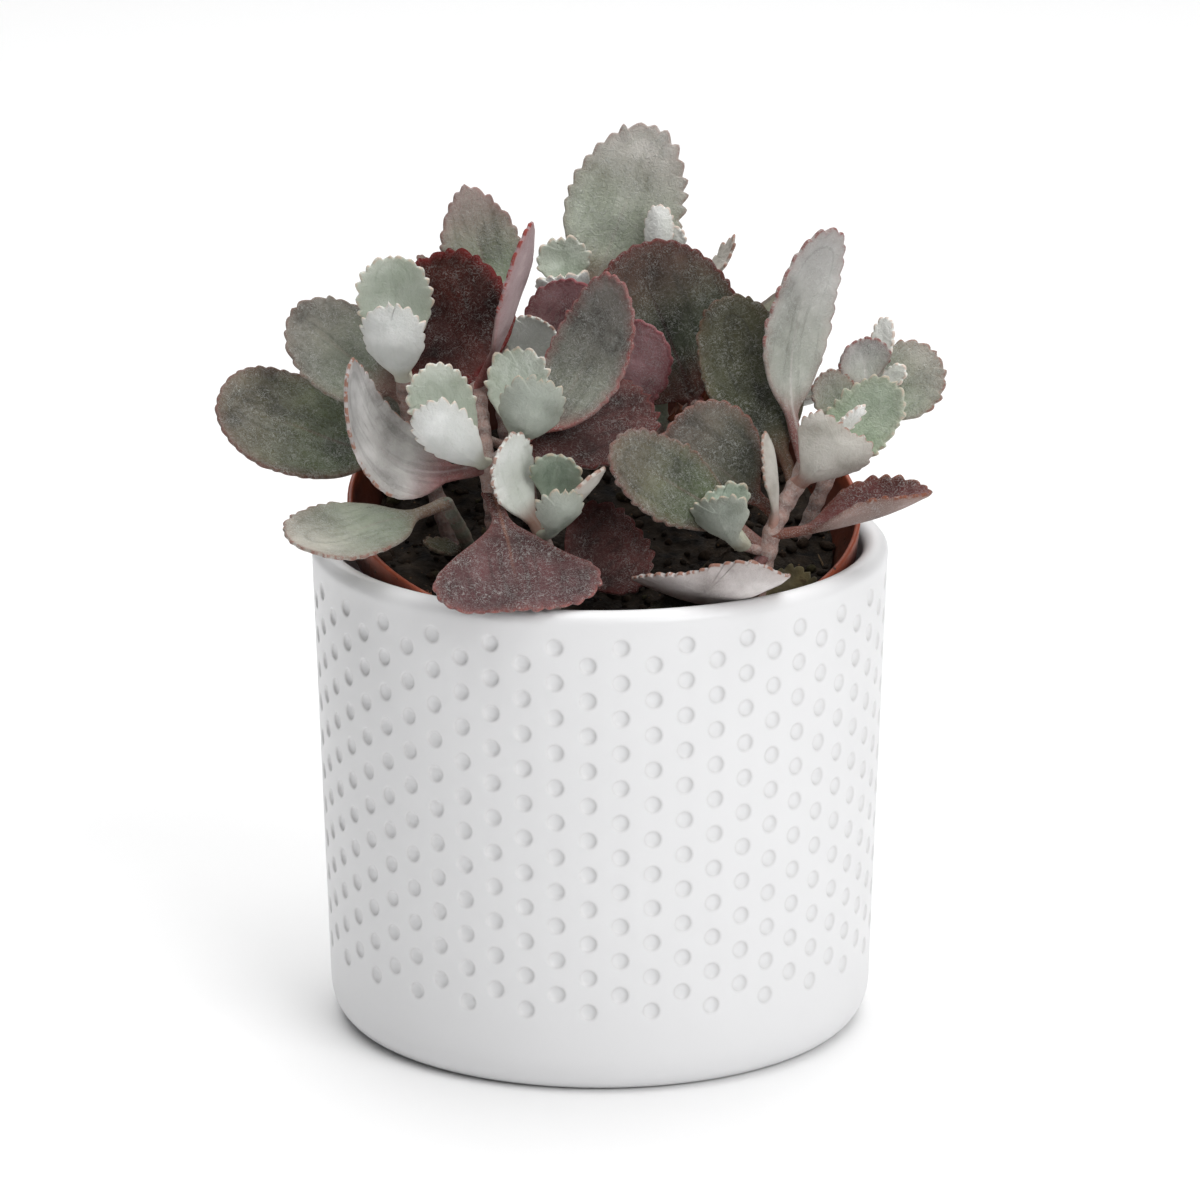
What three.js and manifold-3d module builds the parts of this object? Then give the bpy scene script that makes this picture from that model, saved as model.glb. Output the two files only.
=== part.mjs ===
// A flower dust plant (Kalanchoe pumila) in its nursery pot, dropped at a slant into a dimpled outer pot.
// Millimetres, +Z up, origin at the centre of the flat foot of the outer pot, -Y to the front.
import * as THREE from "three";
import { mergeVertices } from "three/addons/utils/BufferGeometryUtils.js";
import Module from "manifold-3d";

const wasm = await Module();
wasm.setup();

// The clearance left between pieces that touch on the real thing
const GAP = 0.3;

// Outer pot: a white glazed cylinder that tapers a little to a soft foot
const POT_HEIGHT = 103;
const POT_RIM_RADIUS = 60;
const POT_FOOT_RADIUS = 56.7;
const POT_WALL = 5.4;
const POT_FLOOR = 7;
const POT_FOOT_ROUND = { wide: 5.5, high: 8.2, steps: 3 };
const POT_LIP_STEPS = 3;
const POT_INNER_CORNER = 5;

// Dimples: pressed in upright columns, every other column half a step higher
const DIMPLE_COLUMNS = 56;
const DIMPLE_ROWS = 11;
const DIMPLE_PITCH = 7.4;
const DIMPLE_LOWEST = 18.1;
const DIMPLE_RADIUS = 1.75;
const DIMPLE_DEPTH = 0.8;
const DIMPLE_TURN = THREE.MathUtils.degToRad(-2.4);

// Nursery pot: thin terracotta-coloured plastic, wedged at a slant with its lip against the front wall
const NURSERY_HEIGHT = 74;
const NURSERY_RIM_RADIUS = 53.3;
const NURSERY_FOOT_RADIUS = 33.5;
const NURSERY_WALL = 1.1;
const NURSERY_BAND = { high: 8, step: 1.2, flare: 0.4 };
const NURSERY_SIDES = 24;
const NURSERY_TILT = THREE.MathUtils.degToRad(15.6);
const NURSERY_ROLL = THREE.MathUtils.degToRad(2.1);
const NURSERY_RIM_CENTRE = [0.9, -2.3, 111];
const DRAIN_HOLES = { count: 6, radius: 3.6, ring: 20, sides: 8 };

// Soil: the peat that fills the nursery pot to a little under its lip
const SOIL_DEPTH_BELOW_RIM = 9;
const SOIL_RINGS = 4;
const SOIL_LUMP = 1.1;
const SOIL_WAVES = { along: 0.21, across: 0.17, slant: 0.4 };
const SOIL_EDGE_GAP = 0.4;

// Stems and leaves
const STEM_SIDES = 6;
const BLADE_EDGE = 0.8;
const BLADE_MIDDLE = 1.5;
const STALK_HALF_WIDTH = 1.4;
const STALK_THICKNESS = 2.2;
const STRAIGHT_STALK = 0.8;
const SHOULDER = 0.23;
const SHOULDER_POWER = 1.25;
const TEETH_START = 0.4;
const TOOTH_LEAN = 0.64;
const BARE_TIP = 0.4;
const SWAY_RISE = 6.75;

// Leaf kinds: the stalk's share of the length, how far the blade cups, bows and sways sideways as shares
// of its length or half width, its teeth, and how pointed and how low its widest place is
const LEAF = {
  mature: { stalk: 0.22, cup: 0.12, bow: 0.04, sway: 0, teeth: 5, bite: 0.8, blunt: 0.9, swell: 0.9 },
  young: { stalk: 0.14, cup: 0.32, bow: 0.14, sway: 0, teeth: 4, bite: 0.9, blunt: 0.8, swell: 0.8 },
  small: { stalk: 0.2, cup: 0.25, bow: 0.06, sway: 0, teeth: 3, bite: 0.6, blunt: 0.85, swell: 0.85 },
};

// The small turn over which a margin's direction is taken, and the distance under which vertices are one
const NUDGE = 0.01;
const SAME_POINT = 1e-4;

const v3 = (xyz) => new THREE.Vector3(...xyz);

function material(colour, roughness) {
  return new THREE.MeshStandardMaterial({ color: colour, roughness, metalness: 0 });
}

// A geometry's merged vertices as a solid that can be joined and cut
function solidOf(geometry) {
  const bare = geometry.clone();
  bare.deleteAttribute("normal");
  bare.deleteAttribute("uv");
  const merged = mergeVertices(bare, SAME_POINT);
  return new wasm.Manifold(
    new wasm.Mesh({
      numProp: 3,
      vertProperties: new Float32Array(merged.attributes.position.array),
      triVerts: new Uint32Array(merged.index.array),
    }),
  );
}

function geometryOf(solid) {
  const mesh = solid.getMesh();
  return geometryFrom(Array.from(mesh.vertProperties), Array.from(mesh.triVerts));
}

function geometryFrom(positions, faces) {
  const geometry = new THREE.BufferGeometry();
  geometry.setAttribute("position", new THREE.Float32BufferAttribute(positions, 3));
  geometry.setIndex(faces);
  geometry.computeVertexNormals();
  return geometry;
}

function meshOf(name, geometry, finish) {
  const mesh = new THREE.Mesh(geometry, finish);
  mesh.name = name;
  return mesh;
}

// Outer pot

const potRadiusAt = (z) =>
  POT_FOOT_RADIUS + ((POT_RIM_RADIUS - POT_FOOT_RADIUS) * z) / POT_HEIGHT;

// The half section above the dimpled wall: over the lip and down the inside to the middle of the floor
function potSectionAbove() {
  const half = POT_WALL / 2;
  const points = [];
  for (let i = 0; i <= POT_LIP_STEPS; i += 1) {
    const turn = (Math.PI * i) / POT_LIP_STEPS;
    points.push([
      POT_RIM_RADIUS - half + half * Math.cos(turn),
      POT_HEIGHT - half + half * Math.sin(turn),
    ]);
  }
  const inner = (z) => potRadiusAt(z) - POT_WALL;
  points.push([inner(POT_FLOOR + POT_INNER_CORNER), POT_FLOOR + POT_INNER_CORNER]);
  points.push([inner(POT_FLOOR) - POT_INNER_CORNER, POT_FLOOR]);
  points.push([0, POT_FLOOR]);
  return points;
}

// The half section below it: round the foot to the middle of the flat underside
function potSectionBelow() {
  const { wide, high, steps } = POT_FOOT_ROUND;
  const points = [];
  for (let i = 0; i <= steps; i += 1) {
    const turn = (Math.PI / 2) * (i / steps);
    points.push([
      potRadiusAt(high) - wide * (1 - Math.cos(turn)),
      high - high * Math.sin(turn),
    ]);
  }
  points.push([0, 0]);
  return points;
}

function outerPot() {
  const positions = [];
  const faces = [];
  const vertex = (radius, angle, z) => {
    positions.push(radius * Math.cos(angle), radius * Math.sin(angle), z);
    return positions.length / 3 - 1;
  };
  const step = (2 * Math.PI) / DIMPLE_COLUMNS;
  const above = potSectionAbove();
  const below = potSectionBelow();

  // Each column's vertices from the foot to the lip, with a left and a right way round every dimple
  const columns = [];
  for (let c = 0; c < DIMPLE_COLUMNS; c += 1) {
    const angle = c * step + DIMPLE_TURN;
    const low = vertex(below[0][0], angle, below[0][1]);
    const left = [low];
    const right = [low];
    const odd = c % 2;
    for (let r = 0; r < DIMPLE_ROWS; r += 1) {
      const z = DIMPLE_LOWEST + DIMPLE_PITCH * (r + odd / 2);
      const turn = DIMPLE_RADIUS / potRadiusAt(z);
      const bottom = vertex(potRadiusAt(z - DIMPLE_RADIUS), angle, z - DIMPLE_RADIUS);
      const top = vertex(potRadiusAt(z + DIMPLE_RADIUS), angle, z + DIMPLE_RADIUS);
      const west = vertex(potRadiusAt(z), angle - turn, z);
      const east = vertex(potRadiusAt(z), angle + turn, z);
      const pit = vertex(potRadiusAt(z) - DIMPLE_DEPTH, angle, z);
      left.push(bottom, west, top);
      right.push(bottom, east, top);
      [[bottom, east], [east, top], [top, west], [west, bottom]].forEach(([a, b]) => {
        faces.push(a, b, pit);
      });
    }
    const high = vertex(above[0][0], angle, above[0][1]);
    left.push(high);
    right.push(high);
    columns.push({ left, right, low, high });
  }

  // The wall between two columns, stepping up whichever side is lower
  const heightOf = (i) => positions[3 * i + 2];
  columns.forEach((column, c) => {
    const near = column.right;
    const far = columns[(c + 1) % DIMPLE_COLUMNS].left;
    let i = 0;
    let j = 0;
    while (i < near.length - 1 || j < far.length - 1) {
      const nearNext = i < near.length - 1 ? heightOf(near[i + 1]) : Infinity;
      const farNext = j < far.length - 1 ? heightOf(far[j + 1]) : Infinity;
      if (nearNext <= farNext) {
        faces.push(near[i], far[j], near[i + 1]);
        i += 1;
      } else {
        faces.push(near[i], far[j], far[j + 1]);
        j += 1;
      }
    }
  });

  // Rings of a section, from a given ring of vertices to the point on the axis
  const spin = (ring, section, outward) => {
    let last = ring;
    section.slice(1).forEach(([radius, z]) => {
      const next = radius === 0
        ? new Array(DIMPLE_COLUMNS).fill(vertex(0, 0, z))
        : ring.map((_, c) => vertex(radius, c * step + DIMPLE_TURN, z));
      for (let c = 0; c < DIMPLE_COLUMNS; c += 1) {
        const d = (c + 1) % DIMPLE_COLUMNS;
        const quad = outward
          ? [last[c], last[d], next[d], next[c]]
          : [last[d], last[c], next[c], next[d]];
        faces.push(quad[0], quad[1], quad[2]);
        if (radius !== 0) {
          faces.push(quad[0], quad[2], quad[3]);
        }
      }
      last = next;
    });
  };
  spin(columns.map((column) => column.high), above, true);
  spin(columns.map((column) => column.low), below, false);
  return geometryFrom(positions, faces);
}

// Nursery pot and soil, built upright with the rim's centre at the origin and turned into place together

function nurseryPlace(geometry) {
  geometry.rotateX(NURSERY_TILT);
  geometry.rotateY(NURSERY_ROLL);
  geometry.translate(...NURSERY_RIM_CENTRE);
  return geometry;
}

const nurseryRadiusAt = (z) => {
  const top = NURSERY_RIM_RADIUS - NURSERY_BAND.step;
  return top + ((top - NURSERY_FOOT_RADIUS) * z) / NURSERY_HEIGHT;
};

function nurseryPot() {
  const foot = -NURSERY_HEIGHT;
  const band = -NURSERY_BAND.high;
  const profile = [
    [0, foot],
    [nurseryRadiusAt(foot), foot],
    [nurseryRadiusAt(band), band],
    [NURSERY_RIM_RADIUS - NURSERY_BAND.flare, band],
    [NURSERY_RIM_RADIUS, 0],
    [NURSERY_RIM_RADIUS - NURSERY_WALL, 0],
    [nurseryRadiusAt(band) - NURSERY_WALL, band - NURSERY_WALL],
    [nurseryRadiusAt(foot) - NURSERY_WALL, foot + NURSERY_WALL],
    [0, foot + NURSERY_WALL],
  ].map(([x, y]) => new THREE.Vector2(x, y));
  const shell = new THREE.LatheGeometry(profile, NURSERY_SIDES);
  shell.rotateX(Math.PI / 2);
  let solid = solidOf(shell);
  for (let i = 0; i < DRAIN_HOLES.count; i += 1) {
    const angle = (2 * Math.PI * (i + 0.5)) / DRAIN_HOLES.count;
    const { radius, ring, sides } = DRAIN_HOLES;
    const drill = new THREE.CylinderGeometry(radius, radius, 4 * NURSERY_WALL, sides);
    drill.rotateX(Math.PI / 2);
    drill.translate(ring * Math.cos(angle), ring * Math.sin(angle), foot + NURSERY_WALL / 2);
    solid = solid.subtract(solidOf(drill));
  }
  return nurseryPlace(geometryOf(solid));
}

// The height of the lumpy surface over a point, as two crossed waves and a slanting one
function soilHeight(x, y) {
  const { along, across, slant } = SOIL_WAVES;
  const crossed = Math.sin(along * x + 1) * Math.cos(across * y);
  const slanting = Math.sin(slant * (x + y)) / 2;
  return -SOIL_DEPTH_BELOW_RIM + SOIL_LUMP * (crossed + slanting);
}

function soilBlock() {
  const positions = [];
  const faces = [];
  const inset = NURSERY_WALL + GAP;
  const foot = -NURSERY_HEIGHT + inset;
  const step = (2 * Math.PI) / NURSERY_SIDES;
  const ringAt = (radius, heightAt) => {
    const first = positions.length / 3;
    for (let i = 0; i < NURSERY_SIDES; i += 1) {
      const x = radius * Math.cos(i * step);
      const y = radius * Math.sin(i * step);
      positions.push(x, y, heightAt(x, y));
    }
    return Array.from({ length: NURSERY_SIDES }, (_, i) => first + i);
  };
  const band = (lower, upper) => {
    lower.forEach((_, i) => {
      const j = (i + 1) % NURSERY_SIDES;
      faces.push(lower[i], lower[j], upper[j], lower[i], upper[j], upper[i]);
    });
  };
  const edge = nurseryRadiusAt(-SOIL_DEPTH_BELOW_RIM - SOIL_LUMP) - inset - SOIL_EDGE_GAP;
  const under = ringAt(nurseryRadiusAt(foot) - inset, () => foot);
  positions.push(0, 0, foot);
  const centre = positions.length / 3 - 1;
  under.forEach((_, i) => faces.push(centre, under[(i + 1) % NURSERY_SIDES], under[i]));
  let last = under;
  for (let k = 0; k < SOIL_RINGS; k += 1) {
    const next = ringAt((edge * (SOIL_RINGS - k)) / SOIL_RINGS, soilHeight);
    band(last, next);
    last = next;
  }
  positions.push(0, 0, soilHeight(0, 0));
  const crown = positions.length / 3 - 1;
  last.forEach((_, i) => faces.push(last[i], last[(i + 1) % NURSERY_SIDES], crown));
  return nurseryPlace(geometryFrom(positions, faces));
}

// Stems: a six-sided rod along a smooth curve through the stem's nodes

function stemGeometry(path, radius) {
  const curve = new THREE.CatmullRomCurve3(path.map(v3), false, "centripetal");
  const section = new THREE.Shape();
  for (let i = 0; i < STEM_SIDES; i += 1) {
    const angle = (2 * Math.PI * i) / STEM_SIDES;
    const move = i ? "lineTo" : "moveTo";
    section[move](radius * Math.cos(angle), radius * Math.sin(angle));
  }
  section.closePath();
  return new THREE.ExtrudeGeometry(section, {
    steps: 2 * (path.length - 1),
    extrudePath: curve,
    bevelEnabled: false,
  });
}

// Leaves: an obovate blade on a stalk, toothed round its upper part, thicker along its middle

// Half the outline as fractions of the length and half width; turn runs from 0 at the stalk to pi at the tip
function outlineAt(turn, { stalk, blunt, swell }) {
  const rise = ((1 - Math.cos(turn)) / 2) ** swell;
  const power = turn < Math.PI / 2 ? SHOULDER_POWER : blunt;
  return [stalk + (1 - stalk) * rise, Math.sin(turn) ** power];
}

// Points of one margin: [along, across, has a point on the midrib beside it, across without its tooth]
function leafMargin(length, half, shape) {
  const { stalk, teeth, bite } = shape;
  const thin = STALK_HALF_WIDTH;
  const rows = [[0, thin, true, thin], [STRAIGHT_STALK * stalk * length, thin, true, thin]];
  const at = (turn) => {
    const [s, h] = outlineAt(turn, shape);
    return [s * length, Math.max(h * half, thin)];
  };
  const plain = (turn, ribbed) => {
    const [s, h] = at(turn);
    rows.push([s, h, ribbed, h]);
  };
  plain(SHOULDER * Math.PI, true);
  const start = TEETH_START * Math.PI;
  const pitch = (Math.PI - start) / (teeth + BARE_TIP);
  for (let k = 0; k <= teeth; k += 1) {
    const turn = start + k * pitch;
    plain(turn, k > 0 && k % 2 === 0);
    if (k < teeth) {
      const [s, h] = at(turn + TOOTH_LEAN * pitch);
      const [s2, h2] = at(turn + TOOTH_LEAN * pitch + NUDGE);
      const run = Math.hypot(s2 - s, h2 - h);
      rows.push([s + (bite * (h - h2)) / run, h + (bite * (s2 - s)) / run, false, h]);
    }
  }
  rows.push([length, 0, true, 0]);
  return rows;
}

function leafGeometry(base, tip, face, width, kind, changes = {}) {
  const shape = { ...LEAF[kind], ...changes };
  const root = v3(base);
  const along = v3(tip).sub(root);
  const length = along.length();
  along.normalize();
  const up = v3(face).normalize();
  up.addScaledVector(along, -up.dot(along)).normalize();
  const side = new THREE.Vector3().crossVectors(along, up);
  const half = width / 2;
  const positions = [];
  const faces = [];
  const place = (s, h, lift, bare = h) => {
    const share = s / length;
    const sag = 4 * shape.bow * length * share * (1 - share);
    const bend = SWAY_RISE * shape.sway * length * share * (1 - share) ** 2;
    const point = root.clone()
      .addScaledVector(along, s)
      .addScaledVector(side, h + bend)
      .addScaledVector(up, (shape.cup * bare * bare) / half - sag + lift);
    positions.push(point.x, point.y, point.z);
    return positions.length / 3 - 1;
  };
  const stalkEnd = shape.stalk * length;
  const middleAt = (s) => (
    THREE.MathUtils.lerp(STALK_THICKNESS, BLADE_MIDDLE, Math.min(s / stalkEnd, 1)) / 2
  );

  const rows = leafMargin(length, half, shape);
  const last = rows.length - 1;
  const stalkEdge = rows.slice(0, 2).map(([s, h]) => [place(s, -h, 0), place(s, h, 0)]);
  const [upper, lower] = [1, -1].map((sign) => rows.map(([s, h, ribbed, bare], i) => {
    if (i === last) {
      const point = place(s, 0, (sign * BLADE_EDGE) / 2);
      return { left: point, right: point, middle: point };
    }
    return {
      left: i < 2 ? stalkEdge[i][0] : place(s, -h, (sign * BLADE_EDGE) / 2, bare),
      right: i < 2 ? stalkEdge[i][1] : place(s, h, (sign * BLADE_EDGE) / 2, bare),
      middle: ribbed ? place(s, 0, sign * middleAt(s)) : null,
    };
  }));

  // One triangle on both faces; left and right name the sides as seen from the upper face
  const pair = (a, b, c, flip) => {
    const order = flip ? [a, c, b] : [a, b, c];
    const top = order.map((pick) => pick(upper));
    const under = order.map((pick) => pick(lower));
    if (new Set(top).size === 3) {
      faces.push(...top);
      faces.push(under[0], under[2], under[1]);
    }
  };
  const ribs = rows.map((row, i) => (row[2] ? i : -1)).filter((i) => i >= 0);
  ["left", "right"].forEach((edge) => {
    const flip = edge === "left";
    ribs.slice(1).forEach((b, n) => {
      const a = ribs[n];
      for (let i = a; i < b; i += 1) {
        pair((f) => f[a].middle, (f) => f[i][edge], (f) => f[i + 1][edge], flip);
      }
      pair((f) => f[a].middle, (f) => f[b][edge], (f) => f[b].middle, flip);
    });
    for (let i = 0; i < last; i += 1) {
      const quad = [upper[i][edge], lower[i][edge], lower[i + 1][edge], upper[i + 1][edge]];
      if (flip) {
        quad.reverse();
      }
      [[0, 1, 2], [0, 2, 3]].map((pick) => pick.map((k) => quad[k])).forEach((face) => {
        if (new Set(face).size === 3) {
          faces.push(...face);
        }
      });
    }
  });

  // The cut end of the stalk
  const { left, right } = upper[0];
  faces.push(left, right, upper[0].middle, right, left, lower[0].middle);
  return geometryFrom(positions, faces);
}

// Changes to a leaf kind, for the leaves that differ
const FAN = { blunt: 0.6, swell: 0.5, stalk: 0.3, teeth: 7, cup: 0.04, bow: -0.06 };
const SCOOP = { blunt: 0.6, swell: 0.7, stalk: 0.16, teeth: 7, cup: 0.22, bow: 0.24, sway: 0.1 };
const BOAT = { cup: 0.2, bow: 0.3, swell: 1.3, blunt: 1, stalk: 0.14, sway: -0.14 };
const TROUGH = { cup: 0.7, bow: 0.04, swell: 1 };
const CURVED = { swell: 1.1, stalk: 0.12, bow: 0.22 };
const TALL = { blunt: 1.1, swell: 1.1, stalk: 0.12 };
const ROUND = { swell: 1.2, stalk: 0.03 };
const FLATTER = { cup: 0.15 };
const POINTED = { blunt: 1.5, swell: 1.25 };
const BROAD = { blunt: 0.75, swell: 1.2, stalk: 0.1 };
const STALKED = { stalk: 0.36 };
const LONG = { swell: 1.1, blunt: 0.9, bow: 0.14, sway: -0.035 };
const DEEP = { bite: 1.2, blunt: 0.85 };
const TRIANGLE = { blunt: 0.4, swell: 0.5 };
const UPWARD = { bow: 0.3 };
const SQUARE = { blunt: 0.75 };
const FULL = { stalk: 0.1, swell: 1.1, blunt: 1 };
const HIDDEN = { teeth: 3, bite: 1 };

// The plant: each leafy stem is one node. A stem is [radius, node, node, ...], from its buried foot up.
// A leaf is [stem, node on it, tip, width, way its upper side faces, kind, changes to that kind].
const SHOOTS = {
  shoot_front_left: {
    colour: 0x96a096,
    stems: [
      [1.8, [-20, -27, 86], [-22, -30, 120], [-23, -30, 126], [-25, -18, 139]],
      [1.2, [-23, -30, 126], [-17, -29, 130]],
    ],
    leaves: [
      [0, 1, [-15.3, -59.5, 103.2], 33.5, [0.08, -0.45, 0.87], "mature", FAN],
      [0, 2, [-50, -41, 149], 18, [0.6, -0.6, 0.5], "mature", BOAT],
      [0, 2, [-35.5, -43, 141.2], 10.5, [-0.1, 0.9, 0.3], "young"],
      [0, 2, [-36, -34, 146.3], 13, [0.1, -0.9, 0.4], "young"],
      [0, 2, [9.5, -13, 135.5], 23, [0, -0.6, 0.8], "mature", DEEP],
      [0, 3, [-37, 4, 160.5], 27.5, [-0.1, -0.9, 0.35], "mature", BROAD],
      [0, 3, [-14, -28, 175], 14, [-0.9, 0.3, 0.15], "mature"],
      [1, 1, [-12, -37, 144.8], 12.5, [0, 0.95, 0.3], "young"],
      [1, 1, [-16.5, -25, 148.5], 12, [0, -0.9, 0.4], "young"],
      [1, 1, [2.8, -18, 162.2], 18.5, [-0.55, -0.8, 0.2], "mature", CURVED],
    ],
  },
  shoot_front_centre: {
    colour: 0xa3ad9f,
    stems: [[1.6, [-9, -30, 86], [-10, -31, 101], [-11.5, -34, 112.5]]],
    leaves: [
      [0, 2, [-18.5, -40, 133.7], 12, [0.75, -0.65, 0], "young", FLATTER],
      [0, 2, [-7, -47, 124.2], 9, [-0.25, 0.9, 0.4], "young", STALKED],
      [0, 2, [-8, -37, 129.5], 10, [0, -0.9, 0.4], "young", STALKED],
      [0, 2, [-0.4, -42.5, 127.8], 13, [-0.75, 0.35, 0.45], "mature", STALKED],
      [0, 1, [7.8, -25, 110.6], 21.5, [0.1, -0.7, 0.7], "mature", DEEP],
    ],
  },
  shoot_low_left: {
    colour: 0x8f9a88,
    stems: [[1.5, [-26, -10, 90], [-27, -12, 103], [-31.5, -19, 115]]],
    leaves: [
      [0, 2, [-62, -42, 113], 20, [0, -0.36, 0.93], "mature"],
      [0, 1, [-36, -15, 105.5], 4.5, [0, -0.5, 0.8], "small", POINTED],
      [0, 1, [-22, -19, 107], 5, [0, -0.5, 0.8], "small", POINTED],
    ],
  },
  shoot_far_left: {
    colour: 0x8d9686,
    stems: [[1.7, [-28, -3, 92], [-33, -4, 110], [-36, -5, 119], [-40, -10, 135], [-40, -15, 140]]],
    leaves: [
      [0, 2, [-78.5, -8, 134.4], 26, [0.15, -0.6, 0.75], "mature"],
      [0, 3, [-63, -5, 152], 20.5, [0.35, -0.8, 0.45], "mature", FULL],
      [0, 4, [-42.7, -25, 157.4], 12, [0.1, 0.9, 0.3], "young"],
      [0, 4, [-42.6, -17, 165.8], 14.5, [0, -0.9, 0.35], "young"],
      [0, 2, [-42, -4, 137], 12, [0, -0.9, 0.4], "small"],
    ],
  },
  shoot_right: {
    colour: 0x9aa39a,
    stems: [
      [
        1.9, [30, -26, 85], [32, -27.5, 99], [34, -28, 107], [35, -27, 110.5], [36.5, -25, 114],
        [40, -21.5, 119.5], [42, -20, 123.5], [43.5, -20, 126],
      ],
      [1, [34, -28, 107], [29, -30.5, 109]],
    ],
    leaves: [
      [0, 1, [11, -46, 98.7], 13.5, [0.1, -0.3, 0.95], "mature"],
      [0, 2, [18.4, -53.4, 109.4], 35, [-0.17, 0.13, 1], "mature", SCOOP],
      [0, 2, [2.6, -38, 132], 17, [0.15, -0.8, 0.6], "mature", { sway: 0.04 }],
      [0, 3, [67, -28, 119.4], 14.5, [-0.3, -0.05, 0.95], "mature", TROUGH],
      [1, 1, [22.8, -37.5, 120.4], 11.5, [0.1, 0.8, 0.6], "young", STALKED],
      [1, 1, [23.8, -31, 121], 11, [0, -0.8, 0.6], "young", STALKED],
      [0, 4, [14.2, -21, 131.8], 24, [0.1, -0.85, 0.5], "mature", SQUARE],
      [0, 3, [33.6, -25, 131.3], 9, [-0.95, 0.2, 0], "small"],
      [0, 5, [25.4, -6, 155], 20.5, [0.2, -0.9, 0.35], "mature", { swell: 1.05 }],
      [0, 6, [47.3, -10, 170], 17.5, [0.65, -0.7, 0.1], "mature", LONG],
      [0, 5, [50, -27, 132.2], 16, [-0.1, 0.97, 0.1], "young", TRIANGLE],
      [0, 5, [60.3, -13, 138.3], 13.5, [-0.25, -0.85, 0.45], "young"],
      [0, 5, [53.8, -19, 135.4], 3.2, [0.5, -0.8, 0], "small"],
    ],
  },
  shoot_far_right: {
    colour: 0xb4bfb2,
    stems: [[1.5, [40, 3, 96], [47, 5, 113], [53, 6, 124], [56, 7, 131]]],
    leaves: [
      [0, 3, [54, 3, 144], 11, [0.1, -0.85, 0.5], "small"],
      [0, 3, [59.5, 8, 147.5], 5, [-0.5, -0.8, 0], "small"],
      [0, 3, [63, 4, 138], 4, [-0.5, -0.8, 0], "small"],
      [0, 2, [69.5, 8, 140], 16, [-0.2, -0.85, 0.5], "mature"],
      [0, 2, [46, 2, 137], 9, [0, -0.9, 0.4], "small"],
    ],
  },
  shoot_back_centre: {
    colour: 0x959e90,
    stems: [
      [1.9, [6, 16, 97], [7, 18, 118], [4, 18, 135], [-2.5, 19, 148]],
      [1.5, [7, 18, 118], [15, 14, 123], [20, 11, 128.5]],
      [1.1, [-2.5, 19, 148], [-7, 16, 150]],
      [1.1, [-2.5, 19, 148], [12, 17, 154]],
    ],
    leaves: [
      [0, 3, [11.2, 22, 184.8], 23.5, [-0.1, -0.95, 0.1], "mature", TALL],
      [0, 2, [25, 38, 146], 19, [-0.3, 0.3, 0.9], "mature", HIDDEN],
      [0, 2, [-9, 44, 146], 18, [0.1, 0.2, 0.9], "mature", HIDDEN],
      [1, 2, [7, 8, 162.5], 32, [0.05, -0.9, 0.45], "mature", ROUND],
      [1, 1, [9.5, 10, 129.5], 7, [0, -0.8, 0.5], "small"],
      [2, 1, [-8, 17, 162], 10.5, [0, -0.9, 0.3], "young"],
      [2, 1, [-8, 10, 155.5], 11, [0, 0.9, 0.4], "young"],
      [3, 1, [12.5, 16, 169.5], 6, [0.3, 0.9, 0], "small"],
      [3, 1, [16, 16, 165], 6, [-0.3, -0.9, 0], "small"],
      [3, 1, [27.7, 20, 161.4], 5.5, [-0.5, -0.3, 0.8], "small", UPWARD],
    ],
  },
  shoot_back_left: {
    colour: 0x8a7f7c,
    stems: [[1.7, [-14, 10, 95], [-16, 11, 118], [-19, 10, 133], [-20, 9, 143]]],
    leaves: [
      [0, 3, [-27.8, 7, 175.5], 16.5, [0.1, -0.95, 0.2], "mature", POINTED],
      [0, 2, [-11, 1, 148], 13, [0, -0.9, 0.4], "small"],
      [0, 2, [-1, 0, 154.5], 18, [0, -0.9, 0.4], "mature"],
      [0, 1, [12.5, -3, 146.5], 19.5, [0.2, -0.9, 0.4], "mature"],
      [0, 1, [-45, 17, 131], 20, [0.3, 0, 0.9], "mature", HIDDEN],
    ],
  },
  shoot_rear_left: {
    colour: 0x8d9686,
    stems: [[1.7, [-18, 24, 99], [-21, 29, 126], [-25, 32, 138]]],
    leaves: [
      [0, 1, [-49, 47, 136], 20, [0.3, 0.3, 0.9], "mature", HIDDEN],
      [0, 1, [-8, 60, 138], 20, [-0.1, 0.5, 0.85], "mature", HIDDEN],
      [0, 2, [-36, 58, 147], 18, [0.3, 0.6, 0.7], "mature", HIDDEN],
      [0, 2, [-29, 30, 150], 12, [0.3, 0.9, 0.1], "young"],
      [0, 2, [-24, 38, 151], 12, [-0.3, -0.9, 0.2], "young"],
    ],
  },
  shoot_rear_right: {
    colour: 0x9aa39a,
    stems: [[1.7, [25, 21, 99], [30, 26, 124], [31, 27, 140]]],
    leaves: [
      [0, 1, [53, 44, 124], 20, [-0.2, 0.2, 0.95], "mature", HIDDEN],
      [0, 1, [22, 60, 136], 20, [0.1, 0.4, 0.9], "mature", HIDDEN],
      [0, 2, [40, 58, 142], 18, [-0.3, 0.6, 0.7], "mature", HIDDEN],
      [0, 2, [28, 34, 143.5], 7, [0.5, 0.8, 0.3], "young"],
    ],
  },
};

// A shoot in the soil: its stems and leaves joined into one body
function shootGeometry({ stems, leaves }) {
  const pieces = stems.map(([radius, ...path]) => stemGeometry(path, radius));
  leaves.forEach(([stem, node, tip, width, face, kind, changes]) => {
    pieces.push(leafGeometry(stems[stem][node + 1], tip, face, width, kind, changes));
  });
  const joined = pieces.map(solidOf).reduce((whole, piece) => whole.add(piece));
  const bodies = joined.decompose();
  return geometryOf(bodies.reduce((best, body) => (body.volume() > best.volume() ? body : best)));
}

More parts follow.
